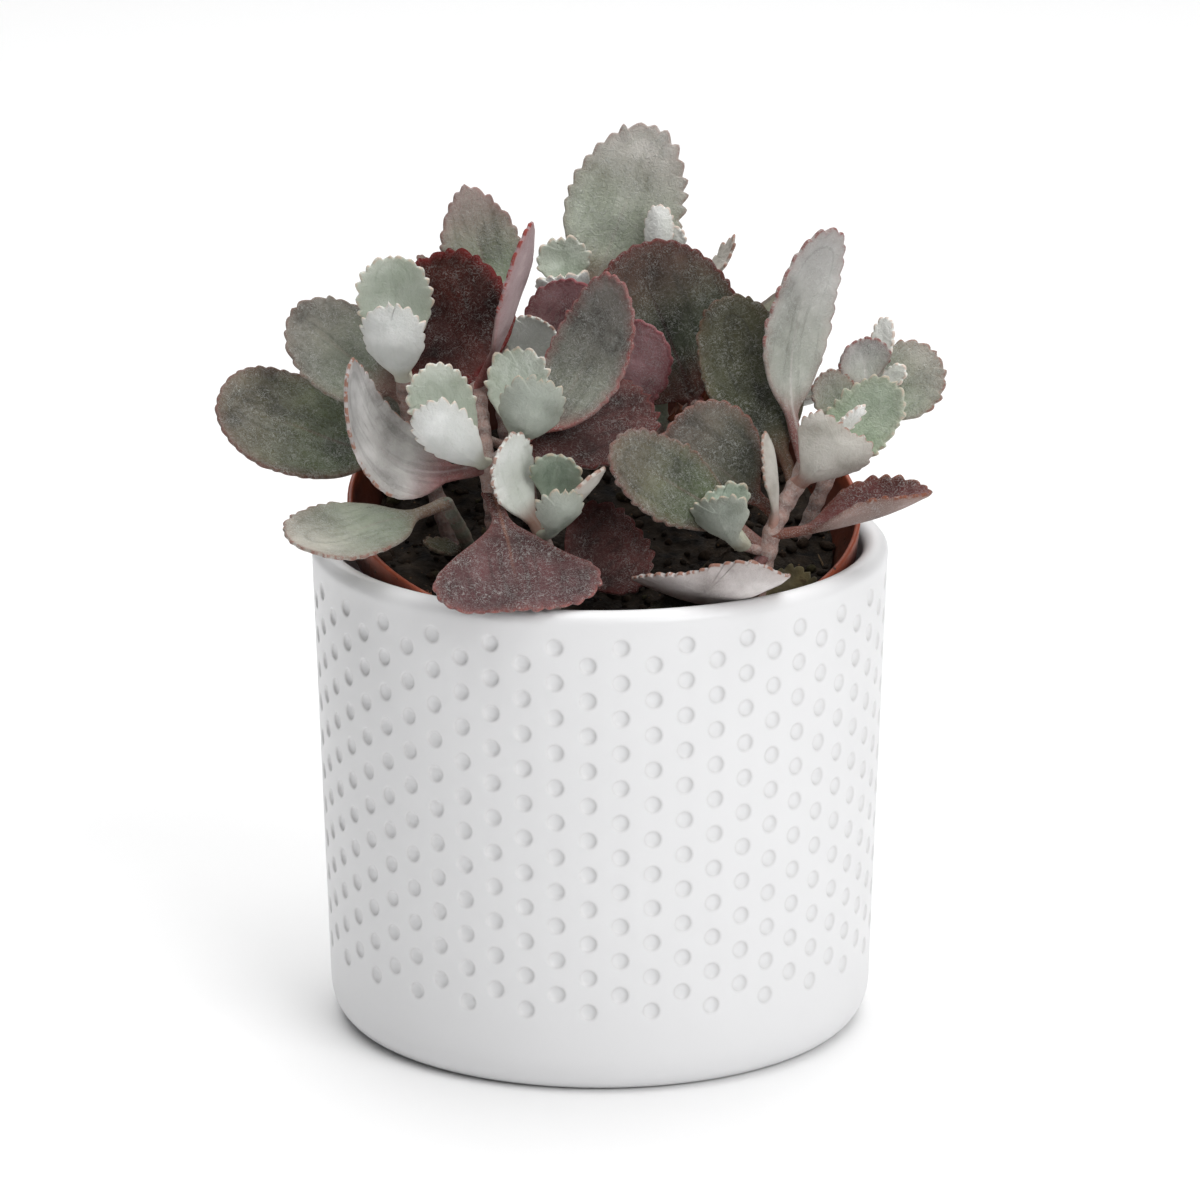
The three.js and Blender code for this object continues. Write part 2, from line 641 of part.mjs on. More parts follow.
// The soil with a plain hole round each stem's foot
function soilGeometry() {
  let solid = solidOf(soilBlock());
  Object.values(SHOOTS).forEach(({ stems }) => {
    const [radius, foot, next] = stems[0];
    const up = v3(next).sub(v3(foot)).normalize();
    const start = v3(foot).addScaledVector(up, -GAP).toArray();
    const hole = stemGeometry([start, next], (radius + GAP) / Math.cos(Math.PI / STEM_SIDES));
    solid = solid.subtract(solidOf(hole));
  });
  return geometryOf(solid);
}

const plant = new THREE.Group();
plant.add(meshOf("outer_pot", outerPot(), material(0xf2f2f0, 0.35)));
plant.add(meshOf("nursery_pot", nurseryPot(), material(0xb4553a, 0.55)));
plant.add(meshOf("soil", soilGeometry(), material(0x2e241d, 0.95)));
Object.entries(SHOOTS).forEach(([name, shoot]) => {
  plant.add(meshOf(name, shootGeometry(shoot), material(shoot.colour, 0.8)));
});

export default plant;
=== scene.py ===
"""Looks of a flower dust plant (Kalanchoe pumila) in its two pots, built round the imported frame.

The tables hold millimetres in the frame's own axes: +Z up, -Y to the front, the origin under the outer pot.
"""

import math

import bmesh
import bpy
import numpy as np
from bpy.props import FloatProperty, FloatVectorProperty, IntProperty, PointerProperty
from mathutils import Matrix, Vector, noise


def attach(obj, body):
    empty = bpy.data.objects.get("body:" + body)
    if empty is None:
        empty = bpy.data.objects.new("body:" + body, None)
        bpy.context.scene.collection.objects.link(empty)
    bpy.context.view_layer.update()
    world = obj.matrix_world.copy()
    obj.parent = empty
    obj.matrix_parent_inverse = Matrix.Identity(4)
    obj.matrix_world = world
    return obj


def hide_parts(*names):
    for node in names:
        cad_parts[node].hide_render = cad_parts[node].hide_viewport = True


bl_info = {
    "name": "Potted Flower Dust Plant",
    "version": (1, 0, 0),
    "blender": (4, 5, 0),
    "location": "3D View > Sidebar > Dust Plant",
    "description": "Builds the looks of a potted flower dust plant round its frame",
    "category": "Object",
}

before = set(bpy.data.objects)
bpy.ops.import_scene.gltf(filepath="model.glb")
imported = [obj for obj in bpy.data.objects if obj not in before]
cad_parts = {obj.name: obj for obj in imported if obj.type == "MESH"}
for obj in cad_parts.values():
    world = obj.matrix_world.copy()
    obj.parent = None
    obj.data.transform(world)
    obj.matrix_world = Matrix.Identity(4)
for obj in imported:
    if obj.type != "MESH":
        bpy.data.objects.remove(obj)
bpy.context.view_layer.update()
MM = 0.001

# Outline of a blade, as in the frame's source
STALK_THICKNESS = 2.2
STRAIGHT_STALK = 0.8
SHOULDER = 0.23
SHOULDER_POWER = 1.25

# Finer form of a blade: where its teeth start and how they lean, the rounding of its rim, the groove and
# the ridge of its midrib, and how its stalk passes into it
TEETH_START = 0.34
TEETH_LEAN = 0.45
TOOTH_REACH = 0.7
TOOTH_PEAK = 0.6
TOOTH_STEPS = (0.0, 0.1, 0.26, 0.44, 0.62, 0.8)
TIP_STEPS = (0.0, 0.2, 0.55, 1.0)
PLAIN_STEP = 1.5
RIM_ROUND = 0.5
FULL_RAY = 3.2
FAN_FROM = 0.72
FAN_REACH = 0.15
RIB_GROOVE = 0.16
STALK_GROOVE = 0.42
RIB_RIDGE = 0.14
RIB_WIDE = 0.6
RIB_FADE = (0.65, 0.95)
FLARE = 0.5
FLARE_REACH = 2.2
STALK_SHARE = 0.6
STALK_BLEND = (0.6, 1.5)
FULL_FROM = 0.7

# How finely a blade's outline is drawn, and how its teeth vary
STALK_STEPS = 12
NECK_STEPS = 40
OUTLINE_STEPS = 360
MARGIN_STEP = 0.15
NOTCH_JITTER = 0.22
FIRST_TOOTH = 1.4
FULL_TEETH = 3
TOOTH_SIZES = (0.55, 1.35)
TOOTH_LIFT = 0.35

# A blade's vertices between its midrib and its rim: millimetres from the midrib, shares of the way,
# and millimetres from the rim
RIB_MARKS = (0.35, 0.9)
BLADE_MARKS = (0.25, 0.5, 0.75)
RIM_MARKS = (0.22, 0.07)

# Waves of a blade, and the factor that makes its sideways bow as large as its setting says
BLADE_WAVES = 4
WAVES_ALONG = (0.5, 2.2)
WAVES_ACROSS = (-1.4, 1.4)
WAVE_HEIGHT = 0.008
SWAY_RISE = 6.75

# What each kind of leaf is like: its outline, teeth and thickness
LEAF_KINDS = {
    "mature": {
        "stalk": 0.22, "cup": 0.12, "bow": 0.04, "blunt": 0.9, "swell": 0.9, "sway": 0.0, "stalk_half": 1.4,
        "pitch": 2.9, "depth": 0.5, "round": 1.15, "edge": 0.9, "middle": 1.6,
    },
    "young": {
        "stalk": 0.14, "cup": 0.32, "bow": 0.14, "blunt": 0.8, "swell": 0.8, "sway": 0.0, "stalk_half": 1.4,
        "pitch": 2.5, "depth": 0.9, "round": 1.3, "edge": 0.8, "middle": 1.6,
    },
    "small": {
        "stalk": 0.2, "cup": 0.25, "bow": 0.06, "blunt": 0.85, "swell": 0.85, "sway": 0.0, "stalk_half": 1.2,
        "pitch": 1.9, "depth": 0.45, "round": 1.0, "edge": 0.75, "middle": 1.4,
    },
}
FAN = {"blunt": 0.6, "swell": 0.5, "cup": 0.04, "bow": -0.06, "stalk": 0.3, "stalk_half": 1.7}
SCOOP = {"blunt": 0.6, "swell": 0.7, "stalk": 0.16, "cup": 0.22, "bow": 0.24, "sway": 0.1}
BOAT = {"cup": 0.2, "bow": 0.3, "swell": 1.3, "blunt": 1.0, "stalk": 0.14, "sway": -0.14, "stalk_half": 1.9}
TROUGH = {"cup": 0.7, "bow": 0.04, "swell": 1.0}
CURVED = {"swell": 1.1, "stalk": 0.12, "bow": 0.22}
TALL = {"blunt": 1.1, "swell": 1.1, "stalk": 0.12, "depth": 1.05, "pitch": 3.4, "round": 1.5}
ROUND = {"swell": 1.2, "stalk": 0.03}
FLATTER = {"cup": 0.15}
POINTED = {"blunt": 1.5, "swell": 1.25, "depth": 0.6}
BROAD = {"blunt": 0.75, "swell": 1.2, "stalk": 0.1, "depth": 0.8, "pitch": 3.4}
STALKED = {"stalk": 0.36}
LONG = {"swell": 1.1, "blunt": 0.9, "bow": 0.14, "pitch": 3.4, "depth": 0.7, "sway": -0.035}
DEEP = {"depth": 1.0, "pitch": 3.0, "blunt": 0.85}
TRIANGLE = {"blunt": 0.4, "swell": 0.5, "pitch": 2.1, "depth": 0.7}
UPWARD = {"bow": 0.3, "depth": 0.7}
SQUARE = {"blunt": 0.75}
FULL = {"stalk": 0.1, "swell": 1.1, "blunt": 1.0}

# How each leaf is coloured: upper face at the tip and at the foot, under face, margin, stalk and rib, then
# the shares of pale dust, curling scurf, blush inside the margin, tint along the rib, and coloured teeth
LOOKS = {
    "sage": (
        (90, 83, 68), (76, 86, 58), (148, 148, 138), (112, 64, 58), (112, 78, 70), (104, 76, 66),
        0.15, 0.36, 0.45, 0.5, 0.5,
    ),
    "stone": (
        (116, 112, 102), (108, 113, 97), (156, 156, 148), (124, 88, 76), (128, 98, 88), (116, 98, 86),
        0.2, 0.38, 0.3, 0.4, 0.5,
    ),
    "ash": (
        (154, 150, 138), (142, 152, 130), (190, 190, 182), (138, 92, 80), (132, 116, 98), (148, 140, 126),
        0.25, 0.45, 0.35, 0.4, 0.8,
    ),
    "frost": (
        (182, 176, 168), (168, 176, 156), (200, 200, 192), (140, 98, 90), (140, 124, 108), (172, 166, 156),
        0.3, 0.5, 0.35, 0.4, 0.4,
    ),
    "dusk": (
        (82, 74, 66), (74, 74, 60), (138, 128, 122), (126, 72, 60), (108, 76, 68), (84, 68, 60),
        0.08, 0.38, 0.45, 0.3, 0.6,
    ),
    "moss": (
        (60, 58, 40), (54, 56, 36), (104, 104, 88), (98, 60, 46), (88, 66, 52), (66, 62, 46),
        0.06, 0.22, 0.2, 0.3, 0.45,
    ),
    "shadow moss": (
        (62, 58, 36), (56, 56, 32), (90, 88, 74), (92, 66, 52), (80, 64, 52), (60, 58, 40),
        0.1, 0.2, 0.15, 0.3, 0.3,
    ),
    "fan": (
        (86, 54, 56), (72, 44, 44), (130, 118, 120), (152, 92, 86), (62, 30, 26), (130, 84, 66),
        0.06, 0.42, 0.35, 0.6, 0.8,
    ),
    "plum": (
        (74, 42, 40), (66, 38, 36), (170, 166, 160), (104, 44, 40), (84, 44, 40), (72, 40, 38),
        0.02, 0.24, 0.4, 0.3, 0.5,
    ),
    # Lightened as painted light, for two leaves that lie in shade behind others
    "wine": (
        (156, 114, 118), (158, 122, 124), (160, 146, 150), (120, 48, 52), (110, 70, 66), (150, 112, 114),
        0.05, 0.3, 0.7, 0.3, 0.4,
    ),
    "maroon": (
        (50, 20, 14), (45, 15, 11), (104, 68, 66), (94, 28, 26), (78, 42, 38), (50, 22, 18),
        0.0, 0.15, 1.6, 0.1, 0.6,
    ),
    "rose": (
        (168, 154, 158), (150, 140, 138), (164, 142, 144), (136, 58, 52), (112, 72, 68), (164, 148, 150),
        0.1, 0.12, 0.3, 0.2, 1.0,
    ),
    "mauve": (
        (112, 106, 100), (104, 106, 94), (140, 136, 132), (134, 60, 58), (116, 84, 76), (102, 92, 84),
        0.2, 0.4, 0.7, 0.3, 0.5,
    ),
    "lavender": (
        (172, 170, 169), (158, 155, 152), (192, 184, 182), (142, 94, 74), (112, 70, 70), (160, 150, 150),
        0.15, 0.1, 0.1, 0.3, 0.9,
    ),
    "pale": (
        (171, 168, 166), (164, 166, 156), (196, 196, 190), (130, 62, 56), (140, 102, 98), (200, 194, 190),
        0.25, 0.45, 0.35, 0.5, 0.8,
    ),
    "ivory": (
        (190, 186, 178), (182, 180, 170), (188, 184, 176), (150, 108, 92), (140, 106, 96), (176, 170, 160),
        0.15, 0.08, 0.15, 0.1, 0.8,
    ),
    "white": (
        (244, 246, 242), (238, 240, 234), (238, 240, 236), (200, 168, 150), (200, 196, 186), (226, 228, 222),
        0.1, 0.0, 0.1, 0.1, 0.6,
    ),
    "chalk": (
        (228, 232, 226), (218, 222, 214), (216, 218, 212), (150, 100, 80), (150, 118, 106), (206, 210, 202),
        0.15, 0.06, 0.1, 0.1, 0.8,
    ),
    "young": (
        (197, 204, 192), (188, 197, 182), (210, 212, 209), (206, 180, 160), (190, 190, 176), (188, 196, 182),
        0.15, 0.1, 0.1, 0.1, 0.6,
    ),
    "fresh": (
        (160, 174, 158), (152, 168, 150), (158, 164, 154), (190, 168, 146), (150, 150, 134), (154, 166, 150),
        0.12, 0.1, 0.1, 0.1, 0.6,
    ),
    "bright": (
        (164, 176, 156), (140, 158, 128), (196, 202, 188), (200, 178, 160), (150, 150, 128), (138, 150, 120),
        0.2, 0.08, 0.15, 0.1, 0.6,
    ),
    "dark": (
        (88, 66, 58), (70, 76, 60), (112, 104, 94), (100, 42, 38), (80, 52, 44), (66, 34, 30),
        0.06, 0.36, 0.8, 0.8, 0.4,
    ),
    "pink tip": (
        (164, 146, 138), (142, 154, 128), (176, 172, 164), (130, 80, 76), (128, 100, 92), (138, 116, 106),
        0.25, 0.36, 0.5, 0.5, 0.4,
    ),
    "red": (
        (100, 52, 52), (96, 50, 48), (128, 108, 102), (128, 74, 54), (110, 72, 64), (128, 88, 80),
        0.05, 0.36, 0.25, 0.4, 0.9,
    ),
}

LEAF_TINTS = ("tip_colour", "foot_colour", "under_colour", "margin_colour", "stalk_colour", "rib_colour")
LEAF_SHARES = ("cover", "scurf", "blush", "rib_tint", "dash")

# The plant: each leafy stem is one piece. A stem is (radius, node, node, ...), from its buried foot up.
# A leaf is (stem, node on it, tip, width, upper face's direction, kind, look), and any changes to its kind.
SHOOTS = {
    "front_left": (
        [
            (1.8, (-20, -27, 86), (-22, -30, 120), (-23, -30, 126), (-25, -18, 139)),
            (1.2, (-23, -30, 126), (-17, -29, 130)),
        ],
        [
            (0, 1, (-15.3, -59.5, 103.2), 33.5, (0.08, -0.45, 0.87), "mature", "fan", FAN),
            (0, 2, (-50, -41, 149), 18, (0.6, -0.6, 0.5), "mature", "lavender", BOAT),
            (0, 2, (-35.5, -43, 141.2), 10.5, (-0.1, 0.9, 0.3), "young", "young"),
            (0, 2, (-36, -34, 146.3), 13, (0.1, -0.9, 0.4), "young", "young"),
            (0, 2, (9.5, -13, 135.5), 23, (0, -0.6, 0.8), "mature", "plum", DEEP),
            (0, 3, (-37, 4, 160.5), 27.5, (-0.1, -0.9, 0.35), "mature", "maroon", BROAD),
            (0, 3, (-14, -28, 175), 14, (-0.9, 0.3, 0.15), "mature", "rose"),
            (1, 1, (-12, -37, 144.8), 12.5, (0, 0.95, 0.3), "young", "fresh"),
            (1, 1, (-16.5, -25, 148.5), 12, (0, -0.9, 0.4), "young", "young"),
            (1, 1, (2.8, -18, 162.2), 18.5, (-0.55, -0.8, 0.2), "mature", "mauve", CURVED),
        ],
    ),
    "front_centre": (
        [(1.6, (-9, -30, 86), (-10, -31, 101), (-11.5, -34, 112.5))],
        [
            (0, 2, (-18.5, -40, 133.7), 12, (0.75, -0.65, 0), "young", "chalk", FLATTER),
            (0, 2, (-7, -47, 124.2), 9, (-0.25, 0.9, 0.4), "young", "fresh", STALKED),
            (0, 2, (-8, -37, 129.5), 10, (0, -0.9, 0.4), "young", "fresh", STALKED),
            (0, 2, (-0.4, -42.5, 127.8), 13, (-0.75, 0.35, 0.45), "mature", "ivory", STALKED),
            (0, 1, (7.8, -25, 110.6), 21.5, (0.1, -0.7, 0.7), "mature", "plum", DEEP),
        ],
    ),
    "low_left": (
        [(1.5, (-26, -10, 90), (-27, -12, 103), (-31.5, -19, 115))],
        [
            (0, 2, (-62, -42, 113), 20, (0, -0.36, 0.93), "mature", "ash"),
            (0, 1, (-36, -15, 105.5), 4.5, (0, -0.5, 0.8), "small", "moss", POINTED),
            (0, 1, (-22, -19, 107), 5, (0, -0.5, 0.8), "small", "moss", POINTED),
        ],
    ),
    "far_left": (
        [(1.7, (-28, -3, 92), (-33, -4, 110), (-36, -5, 119), (-40, -10, 135), (-40, -15, 140))],
        [
            (0, 2, (-78.5, -8, 134.4), 26, (0.15, -0.6, 0.75), "mature", "sage", {"depth": 0.35}),
            (0, 3, (-63, -5, 152), 20.5, (0.35, -0.8, 0.45), "mature", "stone", FULL),
            (0, 4, (-42.7, -25, 157.4), 12, (0.1, 0.9, 0.3), "young", "young"),
            (0, 4, (-42.6, -17, 165.8), 14.5, (0, -0.9, 0.35), "young", "young"),
            (0, 2, (-42, -4, 137), 12, (0, -0.9, 0.4), "small", "stone"),
        ],
    ),
    "right": (
        [
            (
                1.9, (30, -26, 85), (32, -27.5, 99), (34, -28, 107), (35, -27, 110.5),
                (36.5, -25, 114), (40, -21.5, 119.5), (42, -20, 123.5), (43.5, -20, 126),
            ),
            (1.0, (34, -28, 107), (29, -30.5, 109)),
        ],
        [
            (0, 1, (11, -46, 97.2), 13.5, (0.1, -0.3, 0.95), "mature", "shadow moss"),
            (0, 2, (18.4, -53.4, 109.4), 35, (-0.17, 0.13, 1), "mature", "lavender", SCOOP),
            (0, 2, (2.6, -38, 132), 17, (0.15, -0.8, 0.6), "mature", "sage", {"sway": 0.04, "depth": 0.6}),
            (0, 3, (67, -28, 119.4), 14.5, (-0.3, -0.05, 0.95), "mature", "red", TROUGH),
            (1, 1, (22.8, -37.5, 120.4), 11.5, (0.1, 0.8, 0.6), "young", "fresh", STALKED),
            (1, 1, (23.8, -31, 121), 11, (0, -0.8, 0.6), "young", "fresh", STALKED),
            (0, 4, (14.2, -21, 131.8), 24, (0.1, -0.85, 0.5), "mature", "dusk", SQUARE),
            (0, 3, (33.6, -25, 131.3), 9, (-0.95, 0.2, 0), "small", "ivory"),
            (0, 5, (25.4, -6, 155), 20.5, (0.2, -0.9, 0.35), "mature", "moss", {"swell": 1.05}),
            (0, 6, (47.3, -10, 170), 17.5, (0.65, -0.7, 0.1), "mature", "pale", LONG),
            (0, 5, (50, -27, 132.2), 16, (-0.1, 0.97, 0.1), "young", "ivory", TRIANGLE),
            (0, 5, (60.3, -13, 138.3), 13.5, (-0.25, -0.85, 0.45), "young", "bright"),
            (0, 5, (53.8, -19, 135.4), 3.2, (0.5, -0.8, 0), "small", "white"),
        ],
    ),
    "far_right": (
        [(1.5, (40, 3, 96), (47, 5, 113), (53, 6, 124), (56, 7, 131))],
        [
            (0, 3, (54, 3, 144), 11, (0.1, -0.85, 0.5), "small", "pale"),
            (0, 3, (59.5, 8, 147.5), 5, (-0.5, -0.8, 0), "small", "white"),
            (0, 3, (63, 4, 138), 4, (-0.5, -0.8, 0), "small", "white"),
            (0, 2, (69.5, 8, 140), 16, (-0.2, -0.85, 0.5), "mature", "ash", {"depth": 0.7}),
            (0, 2, (46, 2, 137), 9, (0, -0.9, 0.4), "small", "ash"),
        ],
    ),
    "back_centre": (
        [
            (1.9, (6, 16, 97), (7, 18, 118), (4, 18, 135), (-2.5, 19, 148)),
            (1.5, (7, 18, 118), (15, 14, 123), (20, 11, 128.5)),
            (1.1, (-2.5, 19, 148), (-7, 16, 150)),
            (1.1, (-2.5, 19, 148), (12, 17, 154)),
        ],
        [
            (0, 3, (11.2, 22, 184.8), 23.5, (-0.1, -0.95, 0.1), "mature", "frost", TALL),
            (0, 2, (25, 38, 146), 19, (-0.3, 0.3, 0.9), "mature", "stone"),
            (0, 2, (-9, 44, 146), 18, (0.1, 0.2, 0.9), "mature", "mauve"),
            (1, 2, (7, 8, 162.5), 32, (0.05, -0.9, 0.45), "mature", "dark", ROUND),
            (1, 1, (9.5, 10, 129.5), 7, (0, -0.8, 0.5), "small", "fresh"),
            (2, 1, (-8, 17, 162), 10.5, (0, -0.9, 0.3), "young", "young"),
            (2, 1, (-8, 10, 155.5), 11, (0, 0.9, 0.4), "young", "young"),
            (3, 1, (12.5, 16, 169.5), 6, (0.3, 0.9, 0), "small", "white"),
            (3, 1, (16, 16, 165), 6, (-0.3, -0.9, 0), "small", "white"),
            (3, 1, (27.7, 20, 161.4), 5.5, (-0.5, -0.3, 0.8), "small", "ivory", UPWARD),
        ],
    ),
    "back_left": (
        [(1.7, (-14, 10, 95), (-16, 11, 118), (-19, 10, 133), (-20, 9, 143))],
        [
            (0, 3, (-27.8, 7, 175.5), 16.5, (0.1, -0.95, 0.2), "mature", "pink tip", POINTED),
            # Painted light: the pale chalk look brightens this small leaf, which lies in shade behind the
            # others
            (0, 2, (-11, 1, 148), 13, (0, -0.9, 0.4), "small", "chalk"),
            # These two leaves' wine look is lightened as painted light
            (0, 2, (-1, 0, 154.5), 18, (0, -0.9, 0.4), "mature", "wine"),
            (0, 1, (12.5, -3, 146.5), 19.5, (0.2, -0.9, 0.4), "mature", "wine"),
            (0, 1, (-45, 17, 131), 20, (0.3, 0, 0.9), "mature", "stone"),
        ],
    ),
    "rear_left": (
        [(1.7, (-18, 24, 99), (-21, 29, 126), (-25, 32, 138))],
        [
            (0, 1, (-49, 47, 136), 20, (0.3, 0.3, 0.9), "mature", "stone"),
            (0, 1, (-8, 60, 138), 20, (-0.1, 0.5, 0.85), "mature", "mauve"),
            (0, 2, (-36, 58, 147), 18, (0.3, 0.6, 0.7), "mature", "sage"),
            (0, 2, (-29, 30, 150), 12, (0.3, 0.9, 0.1), "young", "fresh"),
            (0, 2, (-24, 38, 151), 12, (-0.3, -0.9, 0.2), "young", "young"),
        ],
    ),
    "rear_right": (
        [(1.7, (25, 21, 99), (30, 26, 124), (31, 27, 140))],
        [
            (0, 1, (53, 44, 124), 20, (-0.2, 0.2, 0.95), "mature", "stone"),
            (0, 1, (22, 60, 136), 20, (0.1, 0.4, 0.9), "mature", "moss"),
            (0, 2, (40, 58, 142), 18, (-0.3, 0.6, 0.7), "mature", "sage"),
            (0, 2, (28, 34, 143.5), 7, (0.5, 0.8, 0.3), "young", "young"),
        ],
    ),
}

# Stems apart from the rest, by piece and number: green, cut off, or dark below a height
GREEN_STEMS = {("low_left", 0)}
CUT_STEMS = {("right", 0)}
DARK_BELOW = {("front_left", 0): 118.0}
DARK_FADE = 3.0

# Dead leaves: a foot, a tip, a width, the way the upper face looks, and how olive the leaf still is
DRY_LEAVES = (
    ((-37, -33, 98.5), (-27, -44, 97.5), 9, (0.2, -0.5, 0.8), 0.5),
    ((-43, -24, 100), (-36, -38, 98), 8, (-0.4, -0.3, 0.8), 0.2),
    ((31, -34, 95.5), (42.5, -24, 101), 10, (0.1, -0.6, 0.8), 1.0),
    ((30, -36, 94.5), (21, -41, 95), 8, (0.1, -0.7, 0.7), 0.8),
    ((16, 12, 127), (28, 9, 131), 8, (-0.2, -0.5, 0.8), 0.1),
    ((15, 12, 126), (25, 6, 127), 9, (0.2, -0.6, 0.7), 0.0),
)
DRY_KIND = {
    "stalk": 0.16, "cup": 0.75, "bow": 0.3, "blunt": 0.8, "swell": 0.9, "sway": 0.08, "stalk_half": 1.2,
    "pitch": 2.4, "depth": 0.5, "round": 0.8, "edge": 0.45, "middle": 0.7,
}

# Stems: their rings and sides, the swellings where leaves were, and their section, taper and wobble
PATH_STEPS = 24
STEM_SIDES = 14
STEM_RING = 0.7
STEM_JOINT_SPACING = 3.4
STEM_SWELLING = 0.09
STEM_SWELLING_REACH = 0.7
STEM_SIDEWAYS = (0.3, 0.9, 0.2)
STEM_FLAT = 0.93
STEM_FOOT_SHARE = 1.06
STEM_TAPER = 0.1
STEM_WOBBLE = 0.04
STEM_WOBBLE_TURN = 1.7

# A stem's end: the share of its radius and the rise of each last ring, and the rise of its middle, in radii
STEM_DOME = ((0.86, 0.35), (0.5, 0.62), (0.0, 0.72))
STEM_CUT_END = ((0.9, 0.05), (0.6, -0.12), (0.0, -0.15))

# Outer pot: the section that isn't a setting, the steps of its grid, and the rings of each dimple
# (shares of its radius and of its depth, and how much painted shade greys it)
POT_FLOOR = 7.0
POT_FOOT_WIDE = 5.5
POT_FOOT_HIGH = 8.2
POT_FOOT_RINGS = (44, 20)
POT_INNER_CORNER = 5.0
POT_CORNER_CUT = 1.6
POT_INSIDE_LEVELS = (85, 60, 36)
POT_FLOOR_RING = 25
POT_STEPS = 4
POT_ROUND_STEPS = 10
DIMPLE_TURN = math.radians(-2.4)
FIRST_CORNER = math.radians(225)
DIMPLE_RINGS = ((1.3, 0.0, 0.0), (1.05, 0.04, 0.4), (0.95, 0.34, 1.0), (0.8, 0.72, 0.35), (0.45, 0.96, 0.0))

# Nursery pot and soil, upright round the middle of the rim before they are turned into place. The drain
# rows are the rows of the section that a slot cuts away.
NURSERY_SECTORS = 112
NURSERY_BAND = {"high": 8.0, "step": 1.2, "flare": 0.4}
NURSERY_RIM_CENTRE = (0.9, -2.3, 111.0)
NURSERY_LEVELS = (-56, -38, -20)
NURSERY_CORNER = 1.5
NURSERY_LIP_STEPS = 7
BAND_CORNER = 0.3
DRAIN_SLOTS = 6
DRAIN_SHARE = 0.32
DRAIN_RING = (16.4, 23.6)
DRAIN_ROWS = [0, 1, -2, -1]
GAP = 0.3
SOIL_BELOW_RIM = 9.0
SOIL_LEVEL = -40.0
SOIL_EDGE = 0.5
SOIL_WAVES = {"along": 0.21, "across": 0.17, "slant": 0.4}
SOIL_FINE_SHARE = 0.8
SOIL_LUMP_SCALE = 0.16
SOIL_LUMP_FORM = (0.6, 2.1, 4)
GRIT_SCALE = 0.9
GRIT_SHARE = 0.5
GRIT_LAYER = 5
SOIL_RINGS = 46
SOIL_SECTORS = 150

# Crumbs and fibres: how far out they lie, and ranges or factors for their sizes and forms
CRUMB_REACH = 0.985
CRUMB_SIZES = (0.35, 1.0)
CRUMB_POWER = 1.6
CRUMB_STRETCH = ((0.7, 0.6, 0.5), (1.3, 1.1, 0.9))
CRUMB_BULGE = 0.22
CRUMB_RISE = 0.25
FIBRE_SHARE = 0.08
FIBRE_LENGTHS = (2.0, 3.6)
FIBRE_THICKNESS = (0.22, 0.18)

# Stage, in metres: the side and the place of each lamp, the point they aim at, and the camera's limits
LAMPS = {"top": (2.2, (0.0, 0.1, 1.9)), "front": (1.2, (1.0, -1.3, 1.2)), "back": (1.6, (0.0, 1.5, 1.5))}
LAMP_AIM = (0.0, 0.0, 0.08)
CLIP = (0.01, 50.0)
SENSOR = 36.0


def linear(red, green, blue):
    """A screen colour of 0 to 255 a channel as the linear colour that shaders take."""
    shares = [channel / 255 for channel in (red, green, blue)]
    return tuple(s / 12.92 if s <= 0.04045 else ((s + 0.055) / 1.055) ** 2.4 for s in shares) + (1.0,)


def smooth(value, low, high):
    """A soft step from 0 at low to 1 at high."""
    share = np.clip((np.asarray(value, float) - low) / (high - low), 0, 1)
    return share * share * (3 - 2 * share)


def unit(vector):
    return vector / np.linalg.norm(vector)


def solid(colour):
    """A colour setting with full alpha."""
    return tuple(colour) + (1.0,)


def pairs(ring):
    """Each item of a ring with the one that follows it."""
    return zip(ring, ring[1:] + ring[:1])


def circle(radius, angles):
    return [(radius * math.cos(a), radius * math.sin(a)) for a in angles]


def ring_grid(count, sides):
    """Numbers of the vertices of equal rings, the same turned by one vertex, and the quads between rings."""
    ids = np.arange(count * sides).reshape(count, sides)
    turned = np.roll(ids, -1, axis=1)
    return ids, turned, np.stack([ids[:-1], turned[:-1], turned[1:], ids[1:]], axis=2)


# Colours that aren't settings
WHITE = (1.0, 1.0, 1.0, 1.0)
BLACK = (0.0, 0.0, 0.0, 1.0)
GREY = (0.5, 0.5, 0.5, 1.0)
FLOOR_GREY = (0.93, 0.93, 0.93, 1.0)
STEM_GREEN = linear(122, 124, 104)
STEM_SPECK = linear(150, 92, 84)
STEM_FOOT = linear(74, 38, 32)
STEM_SCAR = linear(176, 140, 128)
STEM_CUT = linear(168, 132, 84)
# Grey of the painted shade along the wall of each dimple
DIMPLE_SHADE_GREY = linear(188, 186, 184)
BARE_CLAY = linear(206, 198, 184)
# Lighter orange of the nursery pot's lip: painted light where the rim catches the lamps
LIT_LIP_ORANGE = linear(148, 70, 44)
SOIL_SPECK = linear(52, 38, 28)
SOIL_SMEAR = linear(70, 48, 36)
SOIL_GRAIN = linear(84, 64, 44)
DRY_BROWN = linear(116, 62, 38)
DRY_OLIVE = linear(86, 78, 52)
DRY_STREAK = linear(62, 34, 24)

# The soil's crumbs, told apart by their own value: from where to where each tint comes in
CRUMB_TINTS = (
    (0.35, 0.75, linear(42, 31, 22)),
    (0.84, 0.9, linear(54, 50, 32)),
    (0.965, 0.985, linear(92, 76, 56)),
)

# Height of the dust's relief, in metres
BLOOM_BUMP = 0.0003


